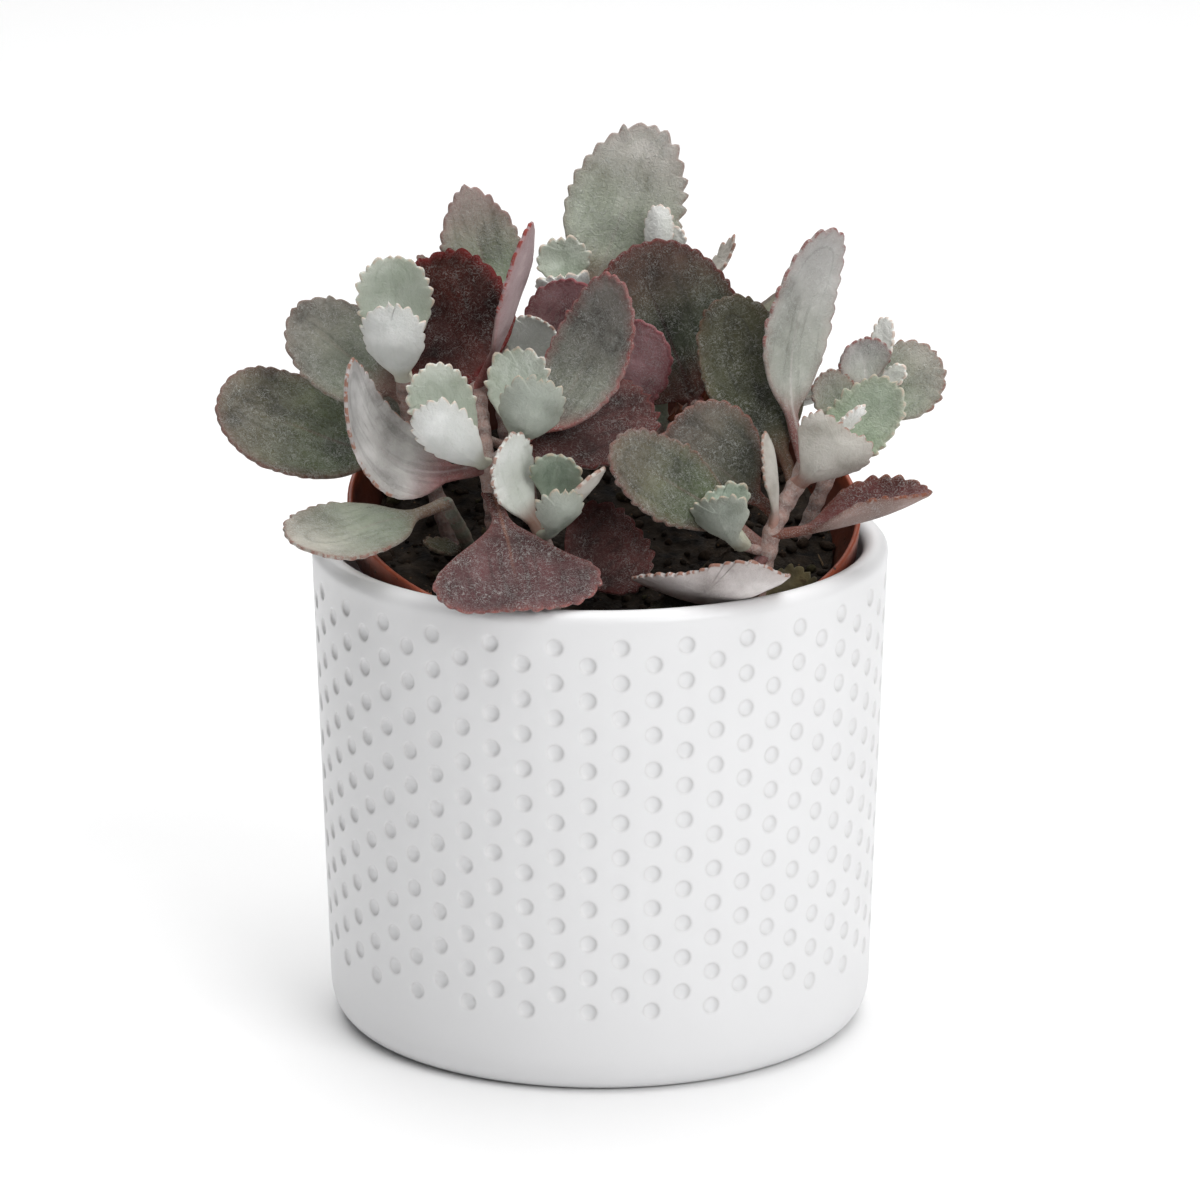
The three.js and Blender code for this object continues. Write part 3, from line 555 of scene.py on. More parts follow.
class Skin:
    """Gathers the vertices, faces and per-vertex values of one piece."""

    def __init__(self):
        self.points = []
        self.faces = []
        self.kinds = []
        self.values = []
        self.count = 0

    def add(self, points, groups, kind=0, **values):
        """Adds vertices in millimetres, groups of faces that index them, and numbers or colours for them."""
        for group in groups:
            added = (np.asarray(group, int) + self.count).tolist()
            self.faces.extend(added)
            self.kinds.extend([kind] * len(added))
        self.points.append(np.asarray(points, float))
        self.values.append((len(points), values))
        self.count += len(points)

    def names(self):
        return sorted({name for _, values in self.values for name in values})

    def column(self, name):
        """One number or colour for every vertex, 0 where none was given."""
        wide = (4,) if any(isinstance(values.get(name), tuple) for _, values in self.values) else ()
        return np.concatenate([
            np.broadcast_to(np.asarray(values.get(name, 0.0), np.float32), (count, *wide))
            for count, values in self.values
        ])


def place_object(name, data):
    """Puts a new object into the scene."""
    made = bpy.data.objects.new(name, data)
    bpy.context.scene.collection.objects.link(made)
    return made


def make_piece(name, skin, materials, slot, *nodes):
    """Turns a skin into a piece that rides on the root and stands for its nodes; its slot is not used."""
    mesh = bpy.data.meshes.new(name)
    mesh.from_pydata((np.concatenate(skin.points) * MM).tolist(), [], skin.faces)
    for material in materials:
        mesh.materials.append(material)
    mesh.polygons.foreach_set("material_index", skin.kinds)
    mesh.shade_smooth()
    for label in skin.names():
        column = skin.column(label)
        kind, field = ("FLOAT_COLOR", "color") if column.ndim > 1 else ("FLOAT", "value")
        mesh.attributes.new(label, kind, "POINT").data.foreach_set(field, column.ravel())
    mesh.update()
    made = place_object(name, mesh)
    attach(made, "root")
    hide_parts(*nodes)


class Wiring:
    """Adds nodes to one shader tree and joins their sockets."""

    def __init__(self, tree):
        self.tree = tree

    def node(self, kind, **settings):
        made = self.tree.nodes.new(kind)
        for name, value in settings.items():
            setattr(made, name, value)
        return made

    def feed(self, sockets, **sources):
        """Links named sockets to others, or sets their own values."""
        self.feed_all([sockets[name] for name in sources], sources.values())

    def feed_all(self, sockets, sources):
        for socket, source in zip(sockets, sources):
            if isinstance(source, bpy.types.NodeSocket):
                self.tree.links.new(source, socket)
            else:
                socket.default_value = source

    def maths(self, operation, first, second=0.0):
        made = self.node("ShaderNodeMath", operation=operation)
        self.feed_all(made.inputs, (first, second))
        return made.outputs[0]

    def times(self, product, *factors):
        for factor in factors:
            product = self.maths("MULTIPLY", product, factor)
        return product

    def span(self, value, low, high, to_low=0.0, to_high=1.0):
        """A soft step of a value between two limits, which may run downwards."""
        made = self.node("ShaderNodeMapRange", interpolation_type="SMOOTHSTEP")
        self.feed_all(made.inputs, (value, low, high, to_low, to_high))
        return made.outputs[0]

    def blend(self, share, first, second, way="MIX"):
        made = self.node("ShaderNodeMix", data_type="RGBA", blend_type=way)
        self.feed_all([made.inputs[i] for i in (0, 6, 7)], (share, first, second))
        return made.outputs[2]

    def place(self, stretch=(1.0, 1.0, 1.0)):
        """The piece's own coordinates, stretched."""
        mapping = self.node("ShaderNodeMapping")
        self.feed(mapping.inputs, Vector=self.node("ShaderNodeTexCoord").outputs["Object"], Scale=stretch)
        return mapping.outputs[0]

    def noise(self, scale, detail=2.0, distortion=0.0, place=None):
        made = self.node("ShaderNodeTexNoise")
        place = place or self.place()
        self.feed(made.inputs, Vector=place, Scale=scale, Detail=detail, Distortion=distortion)
        return made.outputs["Fac"]

    def value(self, name):
        return self.node("ShaderNodeAttribute", attribute_name=name).outputs["Fac"]

    def colour(self, name):
        return self.node("ShaderNodeAttribute", attribute_name=name).outputs["Color"]

    def effect(self, name, **sources):
        """Places a shared effect and returns its outputs."""
        made = self.node("ShaderNodeGroup", node_tree=bpy.data.node_groups[name])
        self.feed(made.inputs, **sources)
        return made.outputs

    def bump(self, height, distance, strength=1.0):
        made = self.node("ShaderNodeBump")
        self.feed(made.inputs, Height=height, Distance=distance, Strength=strength)
        return made.outputs[0]


COLOUR, NUMBER = "NodeSocketColor", "NodeSocketFloat"


def shared_effect(name, fill, **inputs):
    """Makes a shader node group with named sockets, filled by a function that returns its outputs."""
    tree = bpy.data.node_groups.new(name, "ShaderNodeTree")
    for label, value in inputs.items():
        kind = COLOUR if isinstance(value, tuple) else NUMBER
        tree.interface.new_socket(label, in_out="INPUT", socket_type=kind).default_value = value
    wiring = Wiring(tree)
    outputs = fill(wiring, wiring.node("NodeGroupInput").outputs)
    leave = wiring.node("NodeGroupOutput")
    for label, source in outputs.items():
        kind = COLOUR if source.type == "RGBA" else NUMBER
        tree.interface.new_socket(label, in_out="OUTPUT", socket_type=kind)
    wiring.feed(leave.inputs, **outputs)


def fill_mottle(wiring, given):
    """Soft cloudy lighter and darker patches."""
    patches = wiring.noise(given["Scale"], 3.0)
    lighter = wiring.times(wiring.span(patches, 0.5, 0.7), given["Depth"])
    darker = wiring.times(wiring.span(patches, 0.5, 0.3), given["Depth"])
    bright = wiring.blend(lighter, given["Colour"], WHITE, "SOFT_LIGHT")
    return {"Colour": wiring.blend(darker, bright, BLACK, "SOFT_LIGHT")}


def fill_specks(wiring, given):
    """Small separate specks, for crumbs and grains."""
    cells = wiring.node("ShaderNodeTexVoronoi")
    wiring.feed(cells.inputs, Vector=wiring.place(), Scale=given["Scale"])
    spot = wiring.span(cells.outputs["Distance"], 0.3, 0.12)
    pick = wiring.node("ShaderNodeSeparateColor")
    wiring.feed_all(pick.inputs, [cells.outputs["Color"]])
    mask = wiring.times(spot, wiring.maths("LESS_THAN", pick.outputs[0], given["Amount"]))
    return {"Colour": wiring.blend(mask, given["Colour"], given["Speck"]), "Mask": mask}


def fill_bloom(wiring, given):
    """The waxy dust on leaves and stems: a fine pale grain in soft clouds, and a net of curling threads."""
    grain = wiring.noise(1300.0, 2.0, 0.8)
    clouds = wiring.noise(170.0, 3.0, 0.5)
    fine = wiring.span(grain, 0.32, 0.68, 0.3, 1.0)
    broad = wiring.span(clouds, 0.3, 0.7, 0.55, 1.0)
    cover = wiring.times(broad, fine, given["Cover"])
    dusted = wiring.blend(cover, given["Colour"], given["Bloom"])

    def thread(curls, wide, narrow):
        """Thin lines where a noise crosses its middle."""
        off = wiring.maths("SUBTRACT", curls, 0.5)
        return wiring.span(wiring.maths("ABSOLUTE", off), wide, narrow)

    threads = thread(wiring.noise(1150.0, 1.0, 1.4), 0.055, 0.0)
    dense = wiring.span(wiring.noise(240.0, 3.0), 0.36, 0.62, 0.3, 1.0)
    flecks = thread(wiring.noise(380.0, 1.5, 2.2), 0.02, 0.005)
    broken = wiring.span(wiring.noise(210.0, 2.0), 0.5, 0.62, 0.0, 0.8)
    net = wiring.maths("MAXIMUM", wiring.times(threads, dense), wiring.times(flecks, broken))
    scurf = wiring.times(net, given["Scurf"])
    height = wiring.maths("ADD", wiring.times(grain, 0.8), wiring.maths("ADD", cover, scurf))
    return {
        "Colour": wiring.blend(scurf, dusted, given["Bloom"]),
        "Height": height,
        "Roughness": wiring.span(cover, 0.0, 0.6, 0.62, 0.86),
    }


def fill_margin(wiring, given):
    """A blade's rim: teeth coloured here and there, and a blush that fades inwards."""
    wander = wiring.noise(420.0, 2.0)
    reach = wiring.maths("ADD", given["Rim"], wiring.times(wiring.maths("SUBTRACT", wander, 0.5), 2.0))
    broad_glow = wiring.span(reach, 3.2, 0.3, 0.0, 0.45)
    glow = wiring.maths("ADD", broad_glow, wiring.span(given["Rim"], 0.9, 0.3, 0.0, 0.6))
    blush = wiring.maths("MINIMUM", wiring.times(glow, given["Blush"]), 0.95)
    flushed = wiring.blend(blush, given["Colour"], given["Margin"])
    on_rim = wiring.span(given["Rim"], 0.45, 0.15)
    on_tooth = wiring.span(given["Tooth"], 0.25, 0.55)
    patchy = wiring.span(wiring.noise(900.0, 2.0), 0.36, 0.5)
    coloured = wiring.times(on_rim, on_tooth, patchy, given["Dash"])
    return {"Colour": wiring.blend(coloured, flushed, given["Margin"]), "Mask": coloured}


def make_shared_effects():
    shared_effect("Mottle", fill_mottle, Colour=GREY, Scale=50.0, Depth=0.3)
    shared_effect("Specks", fill_specks, Colour=GREY, Speck=GREY, Scale=500.0, Amount=0.2)
    shared_effect("Bloom", fill_bloom, Colour=GREY, Bloom=GREY, Cover=0.5, Scurf=0.3)
    shared_effect("Margin", fill_margin, Colour=GREY, Margin=GREY, Rim=9.0, Tooth=0.0, Blush=0.0, Dash=0.5)


def surface(name, dress, *settings):
    """A material whose one shader is fed by a function of the settings."""
    material = bpy.data.materials.new(name)
    material.use_nodes = True
    material.node_tree.nodes.clear()
    wiring = Wiring(material.node_tree)
    shader = wiring.node("ShaderNodeBsdfPrincipled")
    leave = wiring.node("ShaderNodeOutputMaterial")
    wiring.feed(leave.inputs, Surface=shader.outputs[0])
    wiring.feed(shader.inputs, **dress(wiring, *settings))
    return material


def dress_leaf(wiring, plant):
    """The dusted blade, coloured by the values that each leaf carries."""
    along = wiring.value("along")
    to_tip = wiring.span(along, 0.4, 0.95)
    upper = wiring.blend(to_tip, wiring.colour("foot_colour"), wiring.colour("tip_colour"))
    bare = wiring.blend(wiring.value("under"), upper, wiring.colour("under_colour"))
    stalked = wiring.blend(wiring.span(along, 0.36, 0.12), bare, wiring.colour("stalk_colour"))
    line = wiring.times(wiring.span(wiring.value("rib"), 0.55, 0.1), wiring.span(along, 0.85, 0.4))
    rib = wiring.times(line, wiring.value("rib_tint"))
    ribbed = wiring.blend(rib, stalked, wiring.colour("rib_colour"))
    mottled = wiring.effect("Mottle", Colour=ribbed, Scale=110.0, Depth=0.62)["Colour"]

    # Streaks along the blade, stronger on the upper face
    place = wiring.node("ShaderNodeCombineXYZ")
    wiring.feed(place.inputs, X=wiring.times(along, 5.0), Y=wiring.value("rib"), Z=wiring.value("seed"))
    streak = wiring.span(wiring.noise(0.62, 3.0, 0.4, place.outputs[0]), 0.5, 0.68, 0.0, 0.34)
    streak_share = wiring.times(streak, wiring.span(wiring.value("under"), 0.0, 1.0, 1.0, 0.25))
    streaked = wiring.blend(streak_share, mottled, wiring.colour("foot_colour"), "MULTIPLY")
    edged = wiring.effect(
        "Margin", Colour=streaked, Margin=wiring.colour("margin_colour"), Rim=wiring.value("rim"),
        Tooth=wiring.value("tooth"), Blush=wiring.value("blush"), Dash=wiring.value("dash"),
    )

    # Coloured teeth and the stalk carry less dust
    off_teeth = wiring.span(edged["Mask"], 0.0, 1.0, 1.0, 0.35)
    off_stalk = wiring.span(along, 0.12, 0.4, 0.4, 1.0)
    away = wiring.times(off_teeth, off_stalk)
    dusted = wiring.effect(
        "Bloom", Colour=edged["Colour"], Bloom=solid(plant.bloom_colour),
        Cover=wiring.times(wiring.value("cover"), away), Scurf=wiring.value("scurf"),
    )
    return {
        "Base Color": dusted["Colour"],
        "Roughness": dusted["Roughness"],
        "Normal": wiring.bump(dusted["Height"], BLOOM_BUMP, 0.75),
        "Specular IOR Level": 0.1,
    }


def dress_stem(wiring, plant):
    """Brownish pink stems with pale rings and a light dust."""
    green = wiring.effect("Specks", Colour=STEM_GREEN, Speck=STEM_SPECK, Scale=900.0, Amount=0.4)["Colour"]
    young = wiring.blend(wiring.value("green"), solid(plant.stem_colour), green)
    footed = wiring.blend(wiring.value("dark"), young, STEM_FOOT)
    mottled = wiring.effect("Mottle", Colour=footed, Scale=260.0, Depth=0.6)["Colour"]
    ringed = wiring.blend(wiring.times(wiring.value("ring"), 0.5), mottled, STEM_SCAR)
    cut = wiring.blend(wiring.value("cut"), ringed, STEM_CUT)
    dusted = wiring.effect(
        "Bloom", Colour=cut, Bloom=solid(plant.bloom_colour),
        Cover=wiring.span(wiring.value("dark"), 0.0, 1.0, 0.3, 0.06), Scurf=0.35,
    )
    return {
        "Base Color": dusted["Colour"],
        "Roughness": dusted["Roughness"],
        "Normal": wiring.bump(dusted["Height"], BLOOM_BUMP, 0.8),
        "Specular IOR Level": 0.3,
    }


def dress_glaze(wiring, pot):
    """A white satin glaze over a body that shows bare under the foot, with a grey ring of painted shade
    along the wall of each dimple.
    """
    glaze = wiring.effect("Mottle", Colour=solid(pot.glaze_colour), Scale=38.0, Depth=0.03)["Colour"]
    # Painted shade: the thin value greys each dimple's wall, where shade falls in the hollow
    dimple_shaded = wiring.blend(wiring.times(wiring.value("thin"), 0.36), glaze, DIMPLE_SHADE_GREY)
    bare = wiring.value("bare")
    colour = wiring.blend(bare, dimple_shaded, BARE_CLAY)
    rough = pot.glaze_roughness
    satin = wiring.span(wiring.noise(60.0, 2.0), 0.3, 0.7, rough - 0.03, rough + 0.04)
    roughness = wiring.maths("MAXIMUM", satin, wiring.times(bare, 0.85))
    ripple = wiring.maths("ADD", wiring.noise(90.0, 1.0), wiring.times(wiring.noise(900.0, 2.0), 0.05))
    return {
        "Base Color": colour,
        "Roughness": roughness,
        "Normal": wiring.bump(ripple, 0.0002, 0.5),
        "Specular IOR Level": 0.45,
    }


def dress_plastic(wiring, nursery):
    """Terracotta-coloured moulded plastic, darkened as painted shade, with its lip lightened as painted
    light, mottled, and with specks and smears of soil.
    """
    # Painted light: the lip is lighter than the walls, whose colour carries painted shade
    lit_lip = wiring.blend(wiring.value("lip"), solid(nursery.shaded_plastic_colour), LIT_LIP_ORANGE)
    plastic = wiring.effect("Mottle", Colour=lit_lip, Scale=120.0, Depth=0.3)["Colour"]
    dirty = wiring.effect("Specks", Colour=plastic, Speck=SOIL_SPECK, Scale=650.0, Amount=0.22)
    smear = wiring.span(wiring.noise(75.0, 4.0), 0.52, 0.66, 0.0, 0.55)
    colour = wiring.blend(wiring.times(smear, wiring.value("inner")), dirty["Colour"], SOIL_SMEAR)
    roughness = wiring.span(wiring.noise(300.0, 3.0), 0.3, 0.7, 0.38, 0.58)
    height = wiring.maths("ADD", wiring.noise(700.0, 2.0), wiring.times(dirty["Mask"], 2.0))
    return {"Base Color": colour, "Roughness": roughness, "Normal": wiring.bump(height, 0.00012, 0.6)}


def dress_soil(wiring, soil):
    """Dark peat, damp and darkened further as painted shade, with brown crumbs, fibres and pale grains."""
    # The peat's own dark colour is darkened further as painted shade
    colour = wiring.effect("Mottle", Colour=solid(soil.shaded_peat_colour), Scale=240.0, Depth=0.9)["Colour"]
    crumb = wiring.value("crumb")
    for low, high, tint in CRUMB_TINTS:
        colour = wiring.blend(wiring.span(crumb, low, high), colour, tint)
    grains = wiring.effect("Specks", Colour=colour, Speck=SOIL_GRAIN, Scale=900.0, Amount=0.1)
    return {
        "Base Color": grains["Colour"],
        "Roughness": wiring.span(wiring.noise(500.0, 2.0), 0.3, 0.7, 0.78, 0.98),
        "Normal": wiring.bump(wiring.noise(1100.0, 4.0), 0.0008, 0.9),
        "Specular IOR Level": 0.2,
    }


def dress_dry_leaf(wiring):
    """Papery dead leaves, orange brown with dark streaks."""
    tint = wiring.blend(wiring.value("olive"), DRY_BROWN, DRY_OLIVE)
    base = wiring.effect("Mottle", Colour=tint, Scale=190.0, Depth=0.9)["Colour"]
    fibres = wiring.noise(420.0, 4.0, 0.5, wiring.place((1.0, 0.25, 1.0)))
    return {
        "Base Color": wiring.blend(wiring.span(fibres, 0.55, 0.7, 0.0, 0.7), base, DRY_STREAK),
        "Roughness": wiring.span(fibres, 0.3, 0.7, 0.55, 0.85),
        "Normal": wiring.bump(fibres, 0.0006, 0.9),
    }


def dress_floor(wiring):
    """A plain pale sweep."""
    tint = wiring.effect("Mottle", Colour=FLOOR_GREY, Scale=3.0, Depth=0.01)
    return {"Base Color": tint["Colour"], "Roughness": 0.9, "Specular IOR Level": 0.1}


# Stems and leaves


def smooth_path(nodes, step):
    """Points at even steps on the rounded curve through the nodes, and how far along it each node is."""
    nodes = np.array(nodes, float)
    ends = np.vstack([2 * nodes[0] - nodes[1], nodes, 2 * nodes[-1] - nodes[-2]])
    share = np.linspace(0, 1, PATH_STEPS, endpoint=False)[:, None]
    dense = []
    for i in range(len(nodes) - 1):
        before, start, end, after = ends[i:i + 4]
        neighbours = (before, start), (start, end), (end, after)
        first, gap, last = (math.sqrt(np.linalg.norm(b - a)) for a, b in neighbours)
        into = ((start - before) / first - (end - before) / (first + gap) + (end - start) / gap) * gap
        out = ((end - start) / gap - (after - start) / (gap + last) + (after - end) / last) * gap
        dense.append(
            start * (2 * share**3 - 3 * share**2 + 1) + into * (share**3 - 2 * share**2 + share)
            + end * (3 * share**2 - 2 * share**3) + out * (share**3 - share**2)
        )
    dense = np.vstack(dense + [nodes[-1:]])
    far = np.concatenate([[0], np.cumsum(np.linalg.norm(np.diff(dense, axis=0), axis=1))])
    even = np.linspace(0, far[-1], max(4, int(far[-1] / step)))
    points = np.column_stack([np.interp(even, far, dense[:, i]) for i in range(3)])
    return points, even, far[::PATH_STEPS]


def add_stem(skin, nodes, radius, cut, green, dark_below, rng):
    """A stem with a swelling at each joint, closed by a dome or by a clean cut."""
    centres, along, joints = smooth_path(nodes, STEM_RING)
    extra = np.arange(joints[0], joints[-1], STEM_JOINT_SPACING) + rng.uniform(-1, 1)
    joints = np.concatenate([joints, extra])
    tangents = np.gradient(centres, axis=0)
    tangents /= np.linalg.norm(tangents, axis=1)[:, None]
    side = unit(np.cross(tangents[0], STEM_SIDEWAYS))
    swelling = np.exp(-(((along[:, None] - joints) / STEM_SWELLING_REACH) ** 2)).sum(1)
    wobble = STEM_WOBBLE * np.sin(along * STEM_WOBBLE_TURN + rng.uniform(0, 6))
    taper = STEM_FOOT_SHARE - STEM_TAPER * along / along[-1]
    radii = radius * (taper + STEM_SWELLING * np.minimum(swelling, 1) + wobble)
    angles = np.linspace(0, 2 * math.pi, STEM_SIDES, endpoint=False)
    rings = []
    for centre, tangent, wide in zip(centres, tangents, radii):
        side = unit(side - tangent * (side @ tangent))
        other = np.cross(tangent, side)
        around = np.cos(angles)[:, None] * side + STEM_FLAT * np.sin(angles)[:, None] * other
        rings.append(centre + wide * around)
    end, tangent, wide = centres[-1], tangents[-1], radii[-1]
    rim = rings[-1]
    *caps, (_, peak) = STEM_CUT_END if cut else STEM_DOME
    rings += [end + (rim - end) * share + tangent * wide * rise for share, rise in caps]
    points = np.vstack(rings + [end + tangent * wide * peak])
    ids, turned, quads = ring_grid(len(rings), STEM_SIDES)
    crown = np.stack([ids[-1], turned[-1], np.full(STEM_SIDES, len(points) - 1)], axis=1)
    capped = len(caps) * STEM_SIDES + 1
    ring = np.concatenate([np.repeat(np.minimum(swelling, 1), STEM_SIDES), np.zeros(capped)])
    is_cut = np.concatenate([np.zeros(len(points) - capped), np.full(capped, float(cut))])
    dark = smooth(points[:, 2], dark_below + DARK_FADE, dark_below - DARK_FADE)
    groups = [quads.reshape(-1, 4), crown]
    skin.add(points, groups, kind=1, ring=ring, cut=is_cut, green=float(green), dark=dark)


def tooth_height(share, roundness):
    """How far up its tooth a place on the margin is: a slow rise, then a quick fall towards the tip."""
    rising = np.sin(math.pi / 2 * np.clip(share / TOOTH_PEAK, 0, 1))
    falling = np.cos(math.pi / 2 * np.clip((share - TOOTH_PEAK) / (1 - TOOTH_PEAK), 0, 1))
    return np.where(share < TOOTH_PEAK, rising, falling) ** roundness


def tip_height(share, roundness):
    return np.sin(math.pi / 2 * share) ** roundness


def blade_margin(length, half, shape, rng):
    """One side of a blade from stalk to tip: its bare and its toothed (along, out), tooth and lift."""
    thin = min(shape["stalk_half"], STALK_SHARE * half)
    straight = STRAIGHT_STALK * shape["stalk"] * length
    turn = np.linspace(SHOULDER * math.pi, math.pi, OUTLINE_STEPS)
    along = (shape["stalk"] + (1 - shape["stalk"]) * ((1 - np.cos(turn)) / 2) ** shape["swell"]) * length
    power = np.where(turn < math.pi / 2, SHOULDER_POWER, shape["blunt"])
    out = np.clip(np.sin(turn), 0, 1) ** power * half
    slope = (out[1] - out[0]) / (along[1] - along[0])
    share = np.linspace(0, 1, NECK_STEPS, endpoint=False)
    run = along[0] - straight
    neck = thin + (out[0] - thin) * (3 - 2 * share) * share**2 + slope * run * (share - 1) * share**2
    stalk = np.linspace(0, straight, STALK_STEPS, endpoint=False)
    bare = np.vstack([
        np.column_stack([stalk, thin + FLARE * np.exp(-((stalk / FLARE_REACH) ** 2))]),
        np.column_stack([straight + run * share, neck]),
        np.column_stack([along, out]),
    ])
    far = np.concatenate([[0], np.cumsum(np.hypot(*np.diff(bare, axis=0).T))])
    first_tooth = far[STALK_STEPS + NECK_STEPS + np.argmax(turn >= TEETH_START * math.pi)]
    count = max(2, round((far[-1] - first_tooth) / shape["pitch"] - 0.5))
    pitch = (far[-1] - first_tooth) / (count + 0.5)
    jitter = rng.uniform(-NOTCH_JITTER, NOTCH_JITTER, count + 1)
    notches = first_tooth + pitch * (np.arange(count + 1) + jitter)
    places = [np.linspace(0, notches[0], max(6, int(first_tooth / PLAIN_STEP)), endpoint=False)]
    heights = [np.zeros(len(places[0]))]
    lifts = [heights[0]]
    for k in range(count + 1):
        last = k == count
        steps = np.array(TIP_STEPS if last else TOOTH_STEPS)
        end = far[-1] if last else notches[k + 1]
        size = shape["depth"] * min(1, (k + FIRST_TOOTH) / FULL_TEETH) * rng.uniform(*TOOTH_SIZES)
        height = tip_height(steps, shape["round"]) if last else tooth_height(steps, shape["round"])
        places.append(notches[k] + (end - notches[k]) * steps)
        heights.append(size * height)
        lifts.append(size * height * (0 if last else rng.uniform(-TOOTH_LIFT, TOOTH_LIFT)))
    places, heights, lifts = (np.concatenate(rows) for rows in (places, heights, lifts))

    def at(place):
        return np.column_stack([np.interp(place, far, bare[:, i]) for i in range(2)])

    step = at(places + MARGIN_STEP) - at(places - MARGIN_STEP)
    step /= np.linalg.norm(step, axis=1)[:, None]
    step[-1] = (0, -1)
    outward = np.column_stack([-step[:, 1], step[:, 0]])
    plain = at(places)
    toothed = plain + heights[:, None] * (outward + TEETH_LEAN * step)
    toothed[-1, 1] = 0
    return np.column_stack([plain, toothed, heights / shape["depth"], lifts])


def leaf_grid(rays, marks, tip_ray):
    """The quads of both faces of a leaf, by ray and mark, and the face that closes its foot."""
    ids = np.arange(2 * rays * marks).reshape(2, rays, marks)
    ids[:, tip_ray + 1:, 0] = ids[:, :tip_ray, 0][:, ::-1]
    ids[1, :, -1] = ids[0, :, -1]
    quads = []
    for grid, way in zip(ids, (1, -1)):
        corners = [grid[:-1, :-1], grid[1:, :-1], grid[1:, 1:], grid[:-1, 1:]][::way]
        quads.append(np.stack(corners, axis=2).reshape(-1, 4))
    foot = np.concatenate([ids[0, 0, ::-1], ids[0, -1, 1:], ids[1, -1, -2::-1], ids[1, 0, 1:-1]])
    return np.vstack(quads), foot


def add_leaf(skin, base, tip, width, face, shape, look, rng, **more):
    """A fleshy toothed blade on its stalk, from a point in its stem to its tip."""
    root = np.array(base, float)
    axis = np.array(tip, float) - root
    length = np.linalg.norm(axis)
    axis /= length
    up = np.array(face, float)
    up = unit(up - axis * (up @ axis))
    side = np.cross(axis, up)
    half = width / 2
    left, right = blade_margin(length, half, shape, rng), blade_margin(length, half, shape, rng)
    rows = np.vstack([left * (1, -1, 1, -1, 1, 1), right[-2::-1]])
    plain, plain_out, far_along, far_out, tooth, lift = rows.T

    # The midrib point of each ray, which closes up towards the tip so that the rays fan round it
    limit, reach = FAN_FROM * length, FAN_REACH * length
    past = np.maximum(plain - limit, 0)
    middle = np.where(plain < limit, plain, limit + reach * (1 - np.exp(-past / reach)))
    ray = np.hypot(far_along - middle, far_out)
    bare_ray = np.hypot(plain - middle, plain_out)
    fine = np.minimum(1, ray / FULL_RAY)
    inner, outer = RIB_MARKS[1] * fine, ray - RIM_ROUND * fine
    marks = [0 * ray, RIB_MARKS[0] * fine, inner]
    marks += [inner + (outer - inner) * share for share in BLADE_MARKS]
    marks += [outer, *(ray - mark * fine for mark in RIM_MARKS), ray]
    away = np.column_stack(marks)
    share = away / ray[:, None]
    s = middle[:, None] + (far_along - middle)[:, None] * share
    h = far_out[:, None] * share
    x = s / length

    # The blade's middle sheet: cupped across, bowed along, and a little wavy
    sheet = shape["cup"] * h * h / half - 4 * shape["bow"] * length * x * (1 - x)
    for _ in range(BLADE_WAVES):
        turns = rng.uniform(*WAVES_ALONG), rng.uniform(*WAVES_ACROSS)
        wave = np.sin(2 * math.pi * (turns[0] * x + turns[1] * h / width) + rng.uniform(0, 6.3))
        sheet = sheet + WAVE_HEIGHT * width * wave * smooth(x, shape["stalk"], 0.6)
    edge = ray[:, None] - away
    sheet = sheet + lift[:, None] * np.exp(-edge / TOOTH_REACH)
    bend = SWAY_RISE * shape["sway"] * length * x * (1 - x) ** 2
    lean_along = 4 * shape["bow"] * (1 - 2 * x)
    lean_out = -2 * shape["cup"] * h / half
    size = np.sqrt(1 + lean_along**2 + lean_out**2)

    # Half thickness: a rounded rim, fuller in the middle, and a rod at the stalk
    rim = np.clip(edge / (RIM_ROUND * fine[:, None]), 0, 1)
    fuller = (shape["middle"] - shape["edge"]) / 2 * smooth(bare_ray[:, None] - away, 0, FULL_FROM * half)
    blade = shape["edge"] / 2 * np.sqrt(1 - (1 - rim) ** 2) + fuller
    rod = STALK_THICKNESS / 2 * np.sqrt(np.clip(1 - share**2, 0, 1))
    low, high = (share_of * shape["stalk"] * length for share_of in STALK_BLEND)
    stalky = 1 - smooth(s, low, high + 1)
    thick = stalky * rod + (1 - stalky) * blade
    fade = (1 - smooth(x, *RIB_FADE)) * fine[:, None]
    dip = np.exp(-((away / RIB_WIDE) ** 2)) * fade
    groove = dip * (RIB_GROOVE + (STALK_GROOVE - RIB_GROOVE) * stalky) * np.sqrt(np.clip(1 - share, 0, 1))
    points = []
    for rise in (thick - groove, -thick - dip * RIB_RIDGE * (1 - stalky)):
        up_by = rise / size
        offsets = (s + lean_along * up_by, h + bend + lean_out * up_by, sheet + up_by)
        points.append(root + sum(o[:, :, None] * way for o, way in zip(offsets, (axis, side, up))))

    # Rays that mirror each other share their midrib end, and the two faces share the rim
    quads, foot = leaf_grid(*away.shape, len(left) - 1)
    used, packed = np.unique(quads, return_inverse=True)
    under = np.stack([np.zeros(away.shape), np.ones(away.shape)])
    under[:, :, -1] = 0.5

    def both(values):
        return np.broadcast_to(values, under.shape).reshape(-1)[used]

    skin.add(
        np.stack(points).reshape(-1, 3)[used],
        [packed.reshape(-1, 4), [np.searchsorted(used, foot)]],
        rim=both(edge), tooth=both(tooth[:, None]), rib=both(away), along=both(x), under=both(under),
        **{name: linear(*tint) for name, tint in zip(LEAF_TINTS, look)},
        **dict(zip(LEAF_SHARES, look[len(LEAF_TINTS):])),
        seed=rng.uniform(0, 90),
        **more,
    )


# Outer pot


